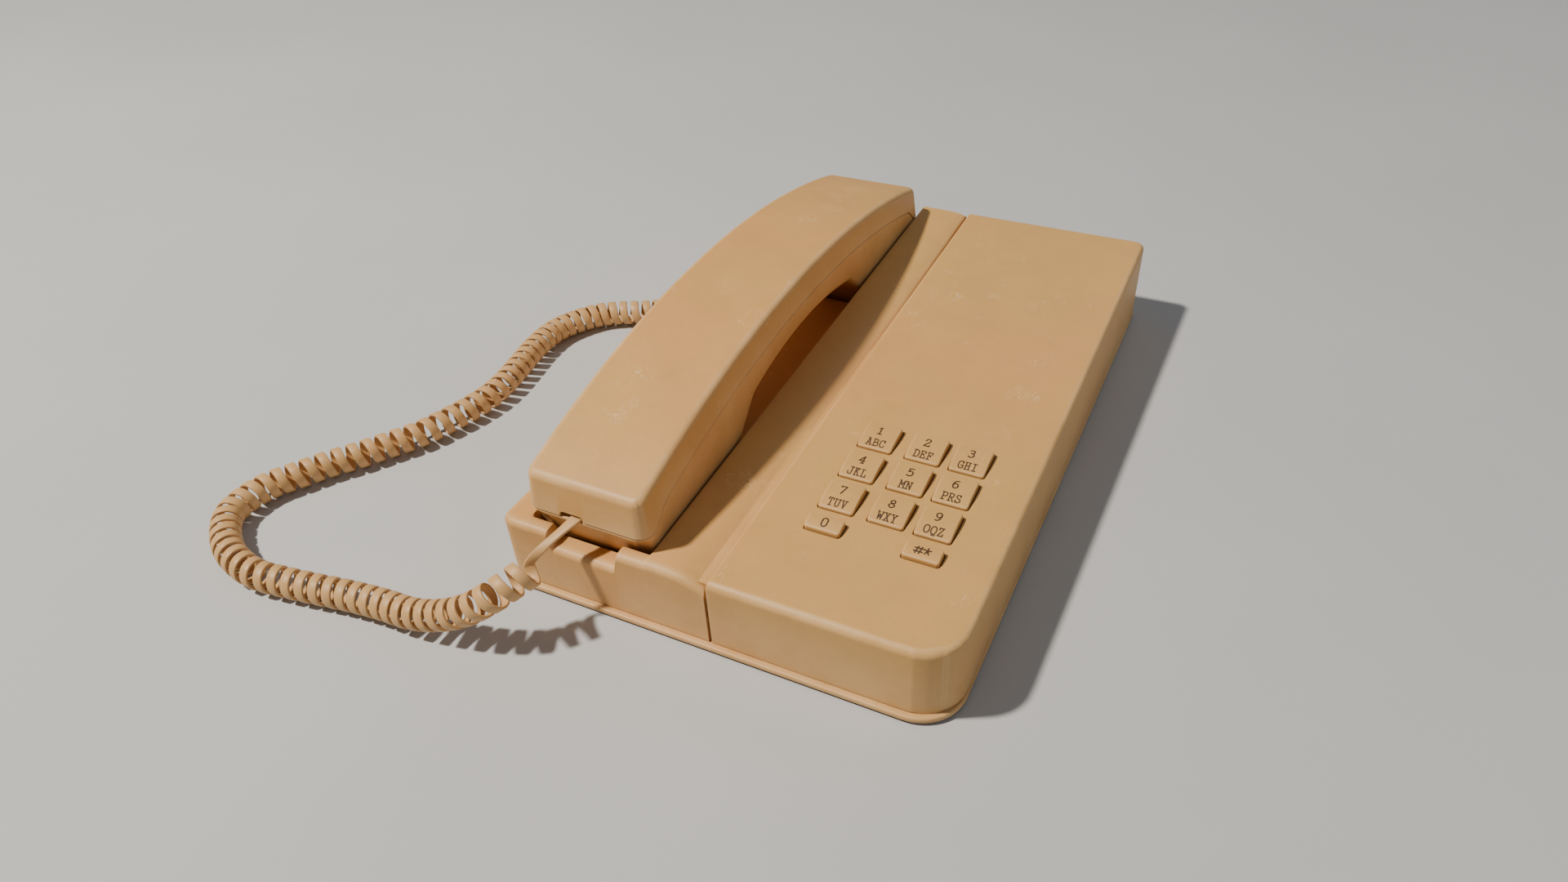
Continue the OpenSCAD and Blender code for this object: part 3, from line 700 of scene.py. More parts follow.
def make_keypad_cover():
    plan = (SEAM_RIGHT, COVER_HIGH[0] / MM, PANEL_FRONT, PANEL_REAR)
    xs = graded(plan[0], plan[1], 6, (), (0.1, 0.25, 0.5, 0.9, 1.4, 2.0, 3.2, 5, 8, 11))
    ys = graded(plan[2], plan[3], 8, (), (0.1, 0.25, 0.5, 0.9, 1.4, 2.0, 2.5, 3.5, 5, 8, 11))
    piece = make_shell(
        "keypad_housing", plan, (0, FRONT_RIGHT_R, CORNER_R, 0), xs, ys, keypad_outer, lambda x, y: RIM_Z,
        lambda x, y, sides: (top_plane(y) - COVER_T, 0), (0.02, COVER_T, COVER_T, COVER_T))
    cut = Solids()
    for x, v, depth in KEY_PLACES:
        half_w, half_d = KEY_W / 2 + KEY_GAP, depth / 2 + KEY_GAP
        loops = []
        for w, grow in ((-4, 0), (-0.4, 0), (-0.15, 0.02), (-0.05, 0.08), (0.02, 0.2), (1, 0.2)):
            w_out, d_out = half_w + grow, half_d + grow
            ring = outline(x - w_out, x + w_out, v - d_out, v + d_out, 1 + grow)
            loops.append([panel(a, b, w) for a, b in ring])
        cut.stack(loops)
    low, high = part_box("line_jack")
    left, right, top = low[0] / MM - 0.2, high[0] / MM + 0.2, high[2] / MM + 0.2
    cut.box(left, right, PANEL_REAR - COVER_T - 1, PANEL_REAR + 1, 1, top)
    combine(piece, cut, "DIFFERENCE")
    return finish_shell(piece)


def pocket_floor(y):
    """Height of the pocket's floor line, softened at its bends."""
    total = 0.0
    for shift in (-0.8, -0.4, 0, 0.4, 0.8):
        at = y + shift
        height = LOBE_H
        for (a, low), (b, high) in zip(POCKET_SIDE, POCKET_SIDE[1:]):
            if a <= at < b:
                height = low + (high - low) * (at - a) / (b - a)
        total += height
    return total / 5


def ramp_height(x, y):
    """The hollow beside the handset, and the flat strip that it rolls up to."""
    part = (y - PANEL_FRONT) / (PANEL_REAR - PANEL_FRONT)
    plane = top_plane(y)
    fall = RAMP_FRONT_DROP + (RAMP_REAR_DROP - RAMP_FRONT_DROP) * part
    hollow = plane - fall + RAMP_R - math.sqrt(RAMP_R ** 2 - min(x - POCKET_RIGHT, 30) ** 2)
    blend = 0.9
    return -blend * math.log(math.exp(-(plane - hollow) / blend) + 1) + plane


def cradle_top(x, y):
    on_ramp = step(POCKET_RIGHT - 0.35, POCKET_RIGHT + 0.75, x)
    height = LOBE_H + (ramp_height(max(x, POCKET_RIGHT), y) - LOBE_H) * on_ramp
    inside = step(POCKET_LEFT - 0.5, POCKET_LEFT + 0.35, x)
    inside *= 1 - step(POCKET_RIGHT - 0.35, POCKET_RIGHT + 0.5, x)
    floor = min(pocket_floor(y), height)
    height += (floor - height) * inside
    in_notch = step(NOTCH_LEFT - 0.7, NOTCH_LEFT + 0.9, x)
    in_notch *= 1 - step(NOTCH_RIGHT - 1.2, NOTCH_RIGHT + 0.8, x)
    if y < POCKET_SIDE[1][0] + 1:
        height += (min(NOTCH_Z, height) - height) * in_notch
    return height


def cradle_outer(x, y, sides):
    fall, wear = edges_drop(sides, (1.6, SEAM_EDGE_R, FRONT_EDGE_R, 1.8))
    slope = abs(cradle_top(x + 0.25, y) - cradle_top(x - 0.25, y))
    return cradle_top(x, y) - fall, max(wear, min(0.8, slope if 0.15 < slope < 0.8 else 0))


def cradle_inner(x, y, sides):
    low = min(cradle_top(x + a, y + b) for a in (-COVER_T, 0, COVER_T) for b in (-COVER_T, 0, COVER_T))
    return low - COVER_T, 0


def make_cradle_cover():
    plan = (CRADLE_LOW[0] / MM, SEAM_LEFT, PANEL_FRONT, PANEL_REAR)
    xs = graded(plan[0], plan[1], 1.4, (POCKET_LEFT, POCKET_RIGHT, NOTCH_LEFT, NOTCH_RIGHT))
    ys = graded(plan[2], plan[3], 1.6, [y for y, z in POCKET_SIDE])
    piece = make_shell(
        "cradle_housing", plan, (CORNER_R, 0, 0, CORNER_R), xs, ys, cradle_outer, lambda x, y: RIM_Z,
        cradle_inner, (COVER_T, 0.02, COVER_T, COVER_T))
    ledge = Solids()
    side = []
    for t in (COVER_T + 0.2, COVER_T + 2.2):
        y0, y1 = PANEL_FRONT + t, PANEL_REAR - t
        side.append([(y0, 8.2), (y0, top_plane(y0) - t), (y1, top_plane(y1) - t), (y1, 8.2)])
    ring = side[0] + side[1][::-1]
    ledge.stack([[(x, y, z) for y, z in ring] for x in (SEAM_LEFT - 2.75, CRADLE_HIGH[0] / MM)])
    combine(piece, ledge, "UNION")
    cut = Solids()
    low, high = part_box("hook_plunger")
    cut.peg((low[0] + high[0]) / 2 / MM, (low[1] + high[1]) / 2 / MM, 5, 20, 3.8)
    low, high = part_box("cord_jack")
    cut.box(plan[0] - 1, plan[0] + COVER_T + 1, low[1] / MM - 0.2, high[1] / MM + 0.2, 0, high[2] / MM + 0.2)
    combine(piece, cut, "DIFFERENCE")
    return finish_shell(piece)


def tray_rule(e):
    outside = (
        near(e.x, TRAY_LOW[0], 0.5) or near(e.x, TRAY_HIGH[0], 0.5)
        or near(e.y, TRAY_LOW[1], 0.5) or near(e.y, TRAY_HIGH[1], 0.5)
        or (e.x > TRAY_HIGH[0] - 15 * MM and e.y < TRAY_LOW[1] + 15 * MM)
        or (abs(e.x) > TRAY_HIGH[0] - 5 * MM
            and (e.y < TRAY_LOW[1] + 5 * MM or e.y > TRAY_HIGH[1] - 5 * MM))
    )
    return 0.7 if outside and e.z < 3 * MM and e.meets(lambda n: abs(n.z) > 0.9, faces_side) else 0


# ---------------------------------------------------------------- handset

HAND_X = (BACK_LOW[0] + BACK_HIGH[0]) / 2 / MM
HAND_Y = (BACK_LOW[1] + BACK_HIGH[1]) / 2 / MM
HALF_W = (BACK_HIGH[0] - BACK_LOW[0]) / 2 / MM
HALF_L = (BACK_HIGH[1] - BACK_LOW[1]) / 2 / MM
SHELL_T = 2
CROWN_Z = 60.4
ARCH_R = 368
PART_R = 359
SIDE_R = 2.4
END_R = 2.0
HAND_CORNER_R = 3.6
FLARE = 1.2
SOLE_EDGE_R = 2.6
CHIN_R = 4.2
CHIN_START = 3
# The parting line leaves its arch here and runs down to its height at the ends
DIP_HALF = 98
DIP_RUN = 6
PARTING_END_Z = 31.5
GRIP_HALF = 40
# Places along the handset, from its middle
SCREW_Y = 30
EAR_Y = 80
MIC_Y = -84
EAR_RING_R = 5
MIC_PITCH = 3
END_SLOPE = [(108.5, 31.3), (104.5, 18.2), (102, 15.4), (56, 15.4), (52, 24), (40, 36)]
GRIP_TOP, GRIP_R = 41.4, 150


def hand_arch(y, r):
    return CROWN_Z - ARCH_R + math.sqrt(r * r - (y - HAND_Y) ** 2)


def parting(x, y):
    away = min(abs(y - HAND_Y), HALF_L)
    total = 0.0
    for shift in (-1.5, -0.5, 0.5, 1.5):
        t = away + shift
        level = hand_arch(HAND_Y + min(t, DIP_HALF), PART_R)
        total += level + (PARTING_END_Z - level) * min(1, max(0, (t - DIP_HALF) / DIP_RUN))
    return total / 4


def back_outset(x, y, z):
    """The upper shell spreads evenly from its top edge down to the parting line."""
    top = hand_arch(y, ARCH_R) - END_R
    rim = parting(x, y)
    return FLARE * min(1, max(0, (top - z) / (top - rim)))


def front_outset(x, y, z):
    """The lower shell curves in below the parting line, to clear the pocket."""
    part = min(1, max(0, 1 - (parting(x, y) - z) / 4.2))
    return FLARE * part ** 1.6


def back_outer(x, y, sides):
    fall, wear = edges_drop(sides, (SIDE_R, SIDE_R, END_R, END_R))
    return hand_arch(y, ARCH_R) - fall, wear


def back_inner(x, y, sides):
    return hand_arch(y, ARCH_R) - SHELL_T, 0


def sole_line(t):
    """Height of the handset's underside at a distance t from its middle."""
    if t <= GRIP_HALF:
        return GRIP_TOP - GRIP_R + math.sqrt(GRIP_R ** 2 - t * t)
    if t >= END_SLOPE[0][0]:
        return END_SLOPE[0][1]
    for (a, high), (b, low) in zip(END_SLOPE, END_SLOPE[1:]):
        if b <= t <= a:
            return low + (high - low) * (t - b) / (a - b)
    return END_SLOPE[-1][1]


def soft_sole(y):
    away = abs(y - HAND_Y)
    shifts = (-1.2, -0.6, 0, 0.6, 1.2)
    return sum(sole_line(min(abs(away + s), HALF_L)) for s in shifts) / len(shifts)


def sole_fall(side, end):
    """How far the underside rises towards its long edges, and more at its rounded corners."""
    d = side
    if side < CHIN_R and end < CHIN_R:
        d = min(d, CHIN_R - math.hypot(CHIN_R - side, CHIN_R - end))
    return drop(max(d, 0), SOLE_EDGE_R) + max(-d, 0)


def front_outer(x, y, sides):
    left, right, front, back = sides
    fall = sole_fall(min(left, right), max(0, min(front, back) - CHIN_START))
    return min(soft_sole(y) + fall, parting(x, y) - 0.6), 0.4 if 0.2 < fall < 3 else 0


def front_inner(x, y, sides):
    left, right, front, back = (side + SHELL_T for side in sides)
    fall = sole_fall(min(left, right), max(0, min(front, back) - CHIN_START))
    height = max(soft_sole(y + b) for b in (-SHELL_T, 0, SHELL_T)) + SHELL_T + fall
    return min(height, parting(x, y) - 0.05), 0


def make_handset():
    plan = (HAND_X - HALF_W, HAND_X + HALF_W, HAND_Y - HALF_L, HAND_Y + HALF_L)
    fine = (0.1, 0.25, 0.5, 0.8, 1.2, 1.7, 2.3, 3.0, 3.8)
    xs = graded(plan[0], plan[1], 2.5, (), fine)
    ys = graded(plan[2], plan[3], 2.4, (), fine)
    radii = (HAND_CORNER_R,) * 4
    inset = (SHELL_T,) * 4
    upper = make_shell(
        "handset_upper_shell", plan, radii, xs, ys, back_outer, parting, back_inner, inset,
        chamfer=0.4, outset=back_outset)
    notch = Solids()
    ring = outline(-50.5, -42.4, 28, 33.6, 1.3)
    notch.stack([[(x, y, z) for x, z in ring] for y in (plan[2] - FLARE - 1, plan[2] + 3)])
    combine(upper, notch, "DIFFERENCE")
    bends = [HAND_Y + s * t for s in (-1, 1) for t, z in END_SLOPE]
    ys = graded(plan[2], plan[3], 2.4, bends, fine)
    lower = make_shell(
        "handset_lower_shell", plan, radii, xs, ys, front_outer, parting, front_inner, inset,
        down=True, chamfer=0.4, outset=front_outset)
    cut = Solids()
    for s in (-1, 1):
        cut.peg(HAND_X, HAND_Y + s * SCREW_Y, 30, 42.6, 3.1)
    cut.peg(HAND_X, HAND_Y + EAR_Y, 10, 25, 1.2, 20)
    for k in range(6):
        a = math.radians(60 * k)
        x, y = HAND_X + EAR_RING_R * math.cos(a), HAND_Y + EAR_Y + EAR_RING_R * math.sin(a)
        cut.peg(x, y, 10, 18, 1.2, 20)
    for k in range(-2, 3):
        cut.peg(HAND_X + MIC_PITCH * k, HAND_Y + MIC_Y, 10, 18, 0.9, 20)
    combine(lower, cut, "DIFFERENCE")
    return finish_shell(upper), finish_shell(lower)


# ---------------------------------------------------------------- keys

KEY_W, KEY_D, SHORT_D, KEY_GAP = 11.2, 11.5, 5.4, 0.3
KEY_COLUMNS = (20.6, 36.3, 50.6)
KEY_ROWS = (76.3, 61.3, 46.3)
SHORT_ROW = 33.5
KEY_PLACES = [(x, v, KEY_D) for v in KEY_ROWS for x in KEY_COLUMNS]
KEY_PLACES += [(KEY_COLUMNS[0], SHORT_ROW, SHORT_D), (KEY_COLUMNS[2], SHORT_ROW, SHORT_D)]
KEY_EDGE_R = 0.5


def key_crown(v, depth):
    """Height of a key's top above the panel: highest behind its middle, and lower towards its front."""
    front_drop = 1.35 if depth == KEY_D else 0.8
    part = (v - 0.26 * depth) / (0.76 * depth)
    return KEY_PROUD / MM - front_drop * part * part


def make_key(name, x, v, depth):
    shell = Shell((-KEY_W / 2, KEY_W / 2, -depth / 2, depth / 2), (0.9,) * 4,
                  graded(-KEY_W / 2, KEY_W / 2, 1.6, (), (0.08, 0.2, 0.4, 0.65, 0.9)),
                  graded(-depth / 2, depth / 2, 1.4, (), (0.08, 0.2, 0.4, 0.65, 0.9)))

    def top(a, b, sides):
        fall, wear = edges_drop(sides, (KEY_EDGE_R,) * 4)
        return key_crown(b, depth) - fall, wear

    upper = shell.skin(top, (0, 0, 0, 0), False)
    lower = shell.skin(lambda a, b, sides: (-2.7, 0), (0, 0, 0, 0), True)
    shell.wall(upper, lower, False)
    shell.points = [tuple(c * MM for c in panel(x + a / MM, v + b / MM, c / MM)) for a, b, c in shell.points]
    piece = new_object(name, shell.mesh(name))
    foot = Solids()
    half_w, half_d = 6.4, depth / 2 + 0.8
    ring = outline(x - half_w, x + half_w, v - half_d, v + half_d, 0.6, 3)
    foot.stack([[panel(a, b, w) for a, b in ring] for w in (-3.6, -2.6)])
    combine(piece, foot, "UNION")
    stem = Solids()
    ring = outline(x - 1.5, x + 1.5, v - 1.5, v + 1.5, 1.49, 6)
    stem.stack([[panel(a, b, w) for a, b in ring] for w in (-4.6, -3.2)])
    combine(piece, stem, "UNION")
    return finish_shell(piece, 50)


# Each glyph on a field 4 wide and 6 high: L is a straight line, C a curve, and | parts the strokes
GLYPHS = {
    "0": "C 2,6 .7,5.2 .4,3 .7,.8 2,0 3.3,.8 3.6,3 3.3,5.2 2,6",
    "1": "L .8,4.9 2,5.9 2,0 | L .8,0 3.2,0",
    "2": "C .6,4.5 1,5.7 2,6 3.2,5.6 3.4,4.5 2.8,3.3 1.5,1.7 .5,.1 | L .5,0 3.6,0 3.6,.8",
    "3": "C .7,5.4 1.9,6 3.1,5.5 3.2,4.2 2.6,3.4 1.6,3.2 | C 1.6,3.2 3,3 3.6,1.8 3.1,.5 1.8,-.1 .4,.6",
    "4": "L 2.8,0 2.8,6 .4,2 3.6,2 | L 1.8,0 3.5,0",
    "5": "L 3.3,6 .9,6 .8,3.3 | C .8,3.3 2,3.9 3.3,3.3 3.6,1.9 3,.4 1.7,-.1 .4,.5",
    "6": "C 3.3,5.8 2,5.8 .9,4.5 .5,2.4 .9,.6 2,0 3.2,.6 3.5,1.9 3,3.2 1.9,3.6 .9,3 .5,2",
    "7": "L .5,5.1 .5,6 3.5,6 1.7,0",
    "8": "C 2,3.2 .9,3.9 .8,5 2,6 3.2,5 3.1,3.9 2,3.2 .7,2.4 .4,1.2 2,0 3.6,1.2 3.3,2.4 2,3.2",
    "9": "C .7,.2 2,.2 3.1,1.5 3.5,3.6 3.1,5.4 2,6 .8,5.4 .5,4.1 1,2.8 2.1,2.4 3.1,3 3.5,4",
    "A": "L .1,0 1.3,0 | L 2.7,0 3.9,0 | L .6,0 1.9,6 3.4,0 | L 1.1,2 2.9,2 | L .9,6 1.9,6",
    "B": "L .2,0 2.2,0 | L .2,6 2.1,6 | L .8,0 .8,6 | C 2.1,6 3.2,5.6 3.2,3.7 2.1,3.2 | L .8,3.2 2.2,3.2 |"
         " C 2.2,3.2 3.7,2.6 3.7,.6 2.2,0",
    "C": "C 3.6,4.3 3.1,5.7 2,6 .7,5.2 .4,3 .7,.9 2,0 3.1,.2 3.8,1.2 | L 3.6,6 3.6,4.2",
    "D": "L .2,0 2,0 | L .2,6 2,6 | L .8,0 .8,6 | C 2,6 3.4,5.2 3.8,3 3.4,.8 2,0",
    "E": "L .2,6 3.5,6 3.5,4.6 | L .8,6 .8,0 | L .2,0 3.7,0 3.7,1.5 | L .8,3.2 2.5,3.2 | L 2.5,3.9 2.5,2.4",
    "F": "L .3,6 3.7,6 3.7,4.6 | L 1,6 1,0 | L .3,0 2.2,0 | L 1,3.2 2.7,3.2 | L 2.7,3.9 2.7,2.4",
    "G": "C 3.5,4.4 3,5.7 2,6 .7,5.2 .3,3 .7,.8 2,0 3.1,.2 3.6,.8 | L 3.6,.7 3.6,2.6 | L 2.2,2.6 4,2.6 |"
         " L 3.5,6 3.5,4.4",
    "H": "L .2,0 1.5,0 | L .2,6 1.5,6 | L 2.5,0 3.8,0 | L 2.5,6 3.8,6 | L .8,0 .8,6 | L 3.2,0 3.2,6 |"
         " L .8,3.1 3.2,3.1",
    "I": "L .7,0 3.3,0 | L .7,6 3.3,6 | L 2,0 2,6",
    "J": "L 1.6,6 3.9,6 | L 2.9,6 2.9,1.7 | C 2.9,1.7 2.6,.3 1.5,-.1 .5,.4 .3,2",
    "K": "L .2,0 1.5,0 | L .2,6 1.5,6 | L .8,0 .8,6 | L 3.1,6 .8,2.6 | L 1.6,3.7 3.3,0 | L 2.3,6 3.7,6 |"
         " L 2.7,0 3.9,0",
    "L": "L .3,6 2.2,6 | L 1.1,6 1.1,0 | L .3,0 3.7,0 3.7,1.8",
    "M": "L -.1,0 1.1,0 | L 2.9,0 4.1,0 | L .5,0 .5,6 | L 3.5,0 3.5,6 | L -.1,6 .5,6 2,2.2 3.5,6 4.1,6",
    "N": "L .1,0 1.4,0 | L .7,0 .7,6 | L .1,6 .7,6 3.3,0 3.3,6 | L 2.6,6 3.9,6",
    "O": "C 2,6 .7,5.3 .2,3 .7,.7 2,0 3.3,.7 3.8,3 3.3,5.3 2,6",
    "P": "L .3,0 2.2,0 | L 1,0 1,6 | L .3,6 2.3,6 | C 2.3,6 3.6,5.6 3.6,3.3 2.3,2.8 | L 1,2.8 2.3,2.8",
    "Q": "C 2,6 .7,5.3 .2,3 .7,.7 2,0 3.3,.7 3.8,3 3.3,5.3 2,6 | C 1.4,-1 2.1,-.5 2.9,-1 3.6,-.6",
    "R": "L .1,0 1.5,0 | L .8,0 .8,6 | L .1,6 2.1,6 | C 2.1,6 3.3,5.6 3.3,3.5 2.1,3 | L .8,3 2.1,3 3.4,0 4,0",
    "S": "C 3.3,4.7 2.9,5.8 2,6 .8,5.6 .8,4.2 2,3.2 3.4,2.4 3.5,.8 2,-.1 .9,.3 .5,1.4 | L 3.3,6 3.3,4.6 |"
         " L .5,0 .5,1.5",
    "T": "L .3,4.5 .3,6 3.7,6 3.7,4.5 | L 2,6 2,0 | L 1.1,0 2.9,0",
    "U": "L .1,6 1.4,6 | L 2.6,6 3.9,6 | L .7,6 .7,1.8 | C .7,1.8 1,.5 2,0 3,.5 3.3,1.8 | L 3.3,1.8 3.3,6",
    "V": "L .1,6 1.4,6 | L 2.6,6 3.9,6 | L .7,6 2,0 3.3,6",
    "W": "L -.1,6 1.1,6 | L 2.9,6 4.1,6 | L .4,6 1,0 2,4 3,0 3.6,6",
    "X": "L .1,0 1.4,0 | L 2.6,0 3.9,0 | L .1,6 1.4,6 | L 2.6,6 3.9,6 | L .7,0 3.3,6 | L .7,6 3.3,0",
    "Y": "L .1,6 1.4,6 | L 2.6,6 3.9,6 | L .7,6 2,3 3.3,6 | L 2,3 2,0 | L 1.1,0 2.9,0",
    "Z": "L .6,4.6 .6,6 3.4,6 .5,0 3.6,0 3.6,1.5",
    "#": "L .5,.8 1.4,5.2 | L 2.6,.8 3.5,5.2 | L -.3,4.1 4.5,4.1 | L -.5,1.9 4.3,1.9",
    "*": "L 2,3.4 2,5.6 | L 2,3.4 .2,4.2 | L 2,3.4 .9,1.5 | L 2,3.4 3.1,1.5 | L 2,3.4 3.8,4.2",
}
LEGENDS = ["1 ABC", "2 DEF", "3 GHI", "4 JKL", "5 MN", "6 PRS", "7 TUV", "8 WXY", "9 OQZ", "0", "#*"]
STROKE = 0.45
DIGIT_H, LETTER_H = 3.1, 2.6


def strokes_of(glyph):
    """The glyph's strokes as lists of (x, y)."""
    strokes = []
    for part in GLYPHS[glyph].split("|"):
        words = part.split()
        points = [tuple(map(float, w.split(","))) for w in words[1:]]
        if words[0] == "C":
            fine = catmull([Vector((x, y, 0)) for x, y in points], 5)
            points = [(p.x, p.y) for p in fine]
        strokes.append((words[0], points))
    return strokes


def divided(a, b, count=5):
    """Points along a straight stroke, close enough to follow a key's crown."""
    return [(a[0] + (b[0] - a[0]) * k / count, a[1] + (b[1] - a[1]) * k / count) for k in range(count + 1)]


def ink_text(solids, text, centre_x, centre_v, height, key_v, depth):
    """Adds the text's strokes as thin plates on the crown of a key."""
    scale = height / 6
    pitch = 4.9 * scale
    start = centre_x - pitch * (len(text) - 1) / 2
    for n, glyph in enumerate(text):
        for kind, points in strokes_of(glyph):
            segments = [points] if kind == "C" else [divided(*pair) for pair in zip(points, points[1:])]
            for line in segments:
                ink_line(solids, line, start + n * pitch, centre_v, scale, key_v, depth)


def ink_line(solids, line, x, v, scale, key_v, depth):
    flat = [((a - 2) * scale + x, (b - 3) * scale + v) for a, b in line]
    loops = []
    for i, (a, b) in enumerate(flat):
        ax, av = flat[max(i - 1, 0)]
        bx, bv = flat[min(i + 1, len(flat) - 1)]
        reach = math.hypot(bx - ax, bv - av)
        tx, tv = (bx - ax) / reach, (bv - av) / reach
        grow = STROKE * scale * 0.85
        if i == 0:
            a, b = a - tx * grow, b - tv * grow
        if i == len(flat) - 1:
            a, b = a + tx * grow, b + tv * grow
        px, pv = -tv * STROKE * scale, tx * STROKE * scale
        ring = []
        for side, lift in ((1, -0.05), (-1, -0.05), (-1, 0.03), (1, 0.03)):
            c, d = a + side * px, b + side * pv
            ring.append(panel(c, d, key_crown(d - key_v, depth) + lift))
        loops.append(ring)
    solids.stack(loops)


def make_legend(name, text, x, v, depth):
    solids = Solids()
    parts = text.split()
    if depth == SHORT_D:
        ink_text(solids, parts[0], x, v + 0.1, DIGIT_H, v, depth)
    else:
        ink_text(solids, parts[0], x - 0.5, v + 1.8, DIGIT_H, v, depth)
        ink_text(solids, parts[1], x - 0.2, v - 3.3, LETTER_H, v, depth)
    return new_object(name, solids.mesh(name))


keypad_cover = make_keypad_cover()
cradle_cover = make_cradle_cover()
base_tray = soft_copy("tray", "base_tray", tray_rule, 0.7, segments=3)
handset_back, handset_front = make_handset()
HOUSING = [
    (keypad_cover, "keypad_cover", "base"),
    (cradle_cover, "cradle_cover", "base"),
    (base_tray, "base_tray", "base"),
    (handset_back, "handset_back", "handset"),
    (handset_front, "handset_front", "handset"),
]
LEGEND_PIECES = []
for node, (x, v, depth), text in zip(KEY_NODES, KEY_PLACES, LEGENDS):
    HOUSING.append((make_key("cap_" + node[4:], x, v, depth), node, node + "_body"))
    legend = make_legend("legend_" + node[4:], text, x, v, depth)
    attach(legend, node + "_body")
    LEGEND_PIECES.append(legend)
for piece, node, body in HOUSING:
    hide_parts(node)
    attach(piece, body)

# ---------------------------------------------------------------- materials


class Graph:
    """A small helper for building a node material."""

    def __init__(self, name):
        self.material = bpy.data.materials.new(name)
        self.material.use_nodes = True
        self.tree = self.material.node_tree
        self.tree.nodes.clear()
        self.shader = self.add("ShaderNodeBsdfPrincipled")
        output = self.add("ShaderNodeOutputMaterial")
        self.tree.links.new(self.shader.outputs["BSDF"], output.inputs["Surface"])
        self.place = self.add("ShaderNodeTexCoord").outputs["Object"]

    def add(self, kind, values=None, **settings):
        node = self.tree.nodes.new(kind)
        for key, value in settings.items():
            setattr(node, key, value)
        for key, value in (values or {}).items():
            self.put(node.inputs[key], value)
        return node

    def put(self, socket, value):
        if isinstance(value, bpy.types.NodeSocket):
            self.tree.links.new(value, socket)
        else:
            socket.default_value = value

    def set(self, **values):
        for key, value in values.items():
            self.put(self.shader.inputs[key.replace("_", " ")], value)

    def noise(self, scale, detail=3, roughness=0.55, distortion=0, where=None):
        node = self.add("ShaderNodeTexNoise", {
            "Vector": where or self.place, "Scale": scale, "Detail": detail, "Roughness": roughness,
            "Distortion": distortion,
        })
        return node.outputs["Fac"]

    def ramp(self, value, low, high, out_low=0.0, out_high=1.0):
        node = self.add("ShaderNodeMapRange", {
            "Value": value, "From Min": low, "From Max": high, "To Min": out_low, "To Max": out_high,
        })
        return node.outputs["Result"]

    def maths(self, operation, a, b=0.0):
        node = self.add("ShaderNodeMath", {0: a, 1: b}, operation=operation)
        return node.outputs["Value"]

    def mix(self, part, a, b, blend="MIX"):
        node = self.add("ShaderNodeMix", data_type="RGBA", blend_type=blend)
        self.put(node.inputs[0], part)
        self.put(node.inputs[6], a)
        self.put(node.inputs[7], b)
        return node.outputs[2]

    def grey(self, shade):
        node = self.add("ShaderNodeCombineColor", {"Red": shade, "Green": shade, "Blue": shade})
        return node.outputs["Color"]

    def bump(self, height, distance, strength=1.0, normal=None):
        values = {"Height": height, "Distance": distance, "Strength": strength}
        if normal is not None:
            values["Normal"] = normal
        return self.add("ShaderNodeBump", values).outputs["Normal"]

    def hairlines(self, scale, width, mask_scale, mask_low, shift):
        """Short thin curved marks: where one noise crosses its middle, kept only where another is high."""
        moved = self.add("ShaderNodeVectorMath", {0: self.place, 1: shift}, operation="ADD").outputs["Vector"]
        lines = self.maths("ABSOLUTE", self.maths("SUBTRACT", self.noise(scale, 1.5, 0.4, 0.6, moved), 0.5))
        thin = self.ramp(lines, 0, width, 1, 0)
        mask = self.ramp(self.noise(mask_scale, 2, 0.5, 0, moved), mask_low, mask_low + 0.05)
        return self.maths("MULTIPLY", thin, mask)


def aged_plastic(name, tint_a, tint_b, worn):
    g = Graph(name)
    broad = g.ramp(g.noise(11, 4, 0.6), 0.35, 0.65)
    blotch = g.noise(48, 6, 0.65)
    speck = g.noise(420, 3, 0.6)
    colour = g.mix(broad, (*tint_a, 1), (*tint_b, 1))
    shade = g.maths("ADD", g.ramp(blotch, 0.3, 0.7, -0.055, 0.045), g.ramp(speck, 0.3, 0.7, 0.985, 1.015))
    grey = g.grey(shade)
    colour = g.mix(1.0, colour, grey, "MULTIPLY")
    # Clusters of short pale marks, broader scuffs, and rubbed edges
    marks = g.maths("MAXIMUM", g.hairlines(330, 0.03, 52, 0.66, (0.3, 0.1, 0.7)),
                    g.hairlines(480, 0.035, 44, 0.67, (0.8, 0.5, 0.2)))
    scuff = g.maths("MULTIPLY", g.ramp(g.noise(170, 8, 0.78), 0.56, 0.68), g.ramp(g.noise(16, 2), 0.58, 0.7))
    pale = g.maths("MAXIMUM", g.maths("MULTIPLY", marks, 0.5), g.maths("MULTIPLY", scuff, 0.4))
    wear = g.add("ShaderNodeAttribute", attribute_name="edge_wear").outputs["Fac"]
    rubbed = g.maths("MULTIPLY", wear, g.ramp(blotch, 0.35, 0.6, 0.12, 0.34))
    pale = g.maths("MAXIMUM", pale, rubbed)
    colour = g.mix(pale, colour, (*worn, 1))
    # Painted shade: the colour darkens to brown where surfaces come close together, from ambient occlusion
    hollow = g.add("ShaderNodeAmbientOcclusion", {"Distance": 0.005}, samples=6).outputs["AO"]
    crevice_shade = g.ramp(hollow, 0.3, 0.85, 0.3, 0)
    colour = g.mix(crevice_shade, colour, (0.26, 0.165, 0.09, 1))
    g.set(Base_Color=colour)
    rough = g.maths("ADD", g.ramp(blotch, 0.3, 0.7, 0.42, 0.54), g.maths("MULTIPLY", pale, 0.12))
    g.set(Roughness=rough)
    fine = g.bump(g.noise(1500, 2, 0.5), 0.00006, 0.55)
    worn_in = g.maths("SUBTRACT", g.noise(240, 4, 0.6), g.maths("MULTIPLY", marks, 0.5))
    dents = g.bump(worn_in, 0.00009, 0.5, fine)
    g.set(Normal=dents)
    g.shader.inputs["Specular IOR Level"].default_value = 0.42
    return g.material


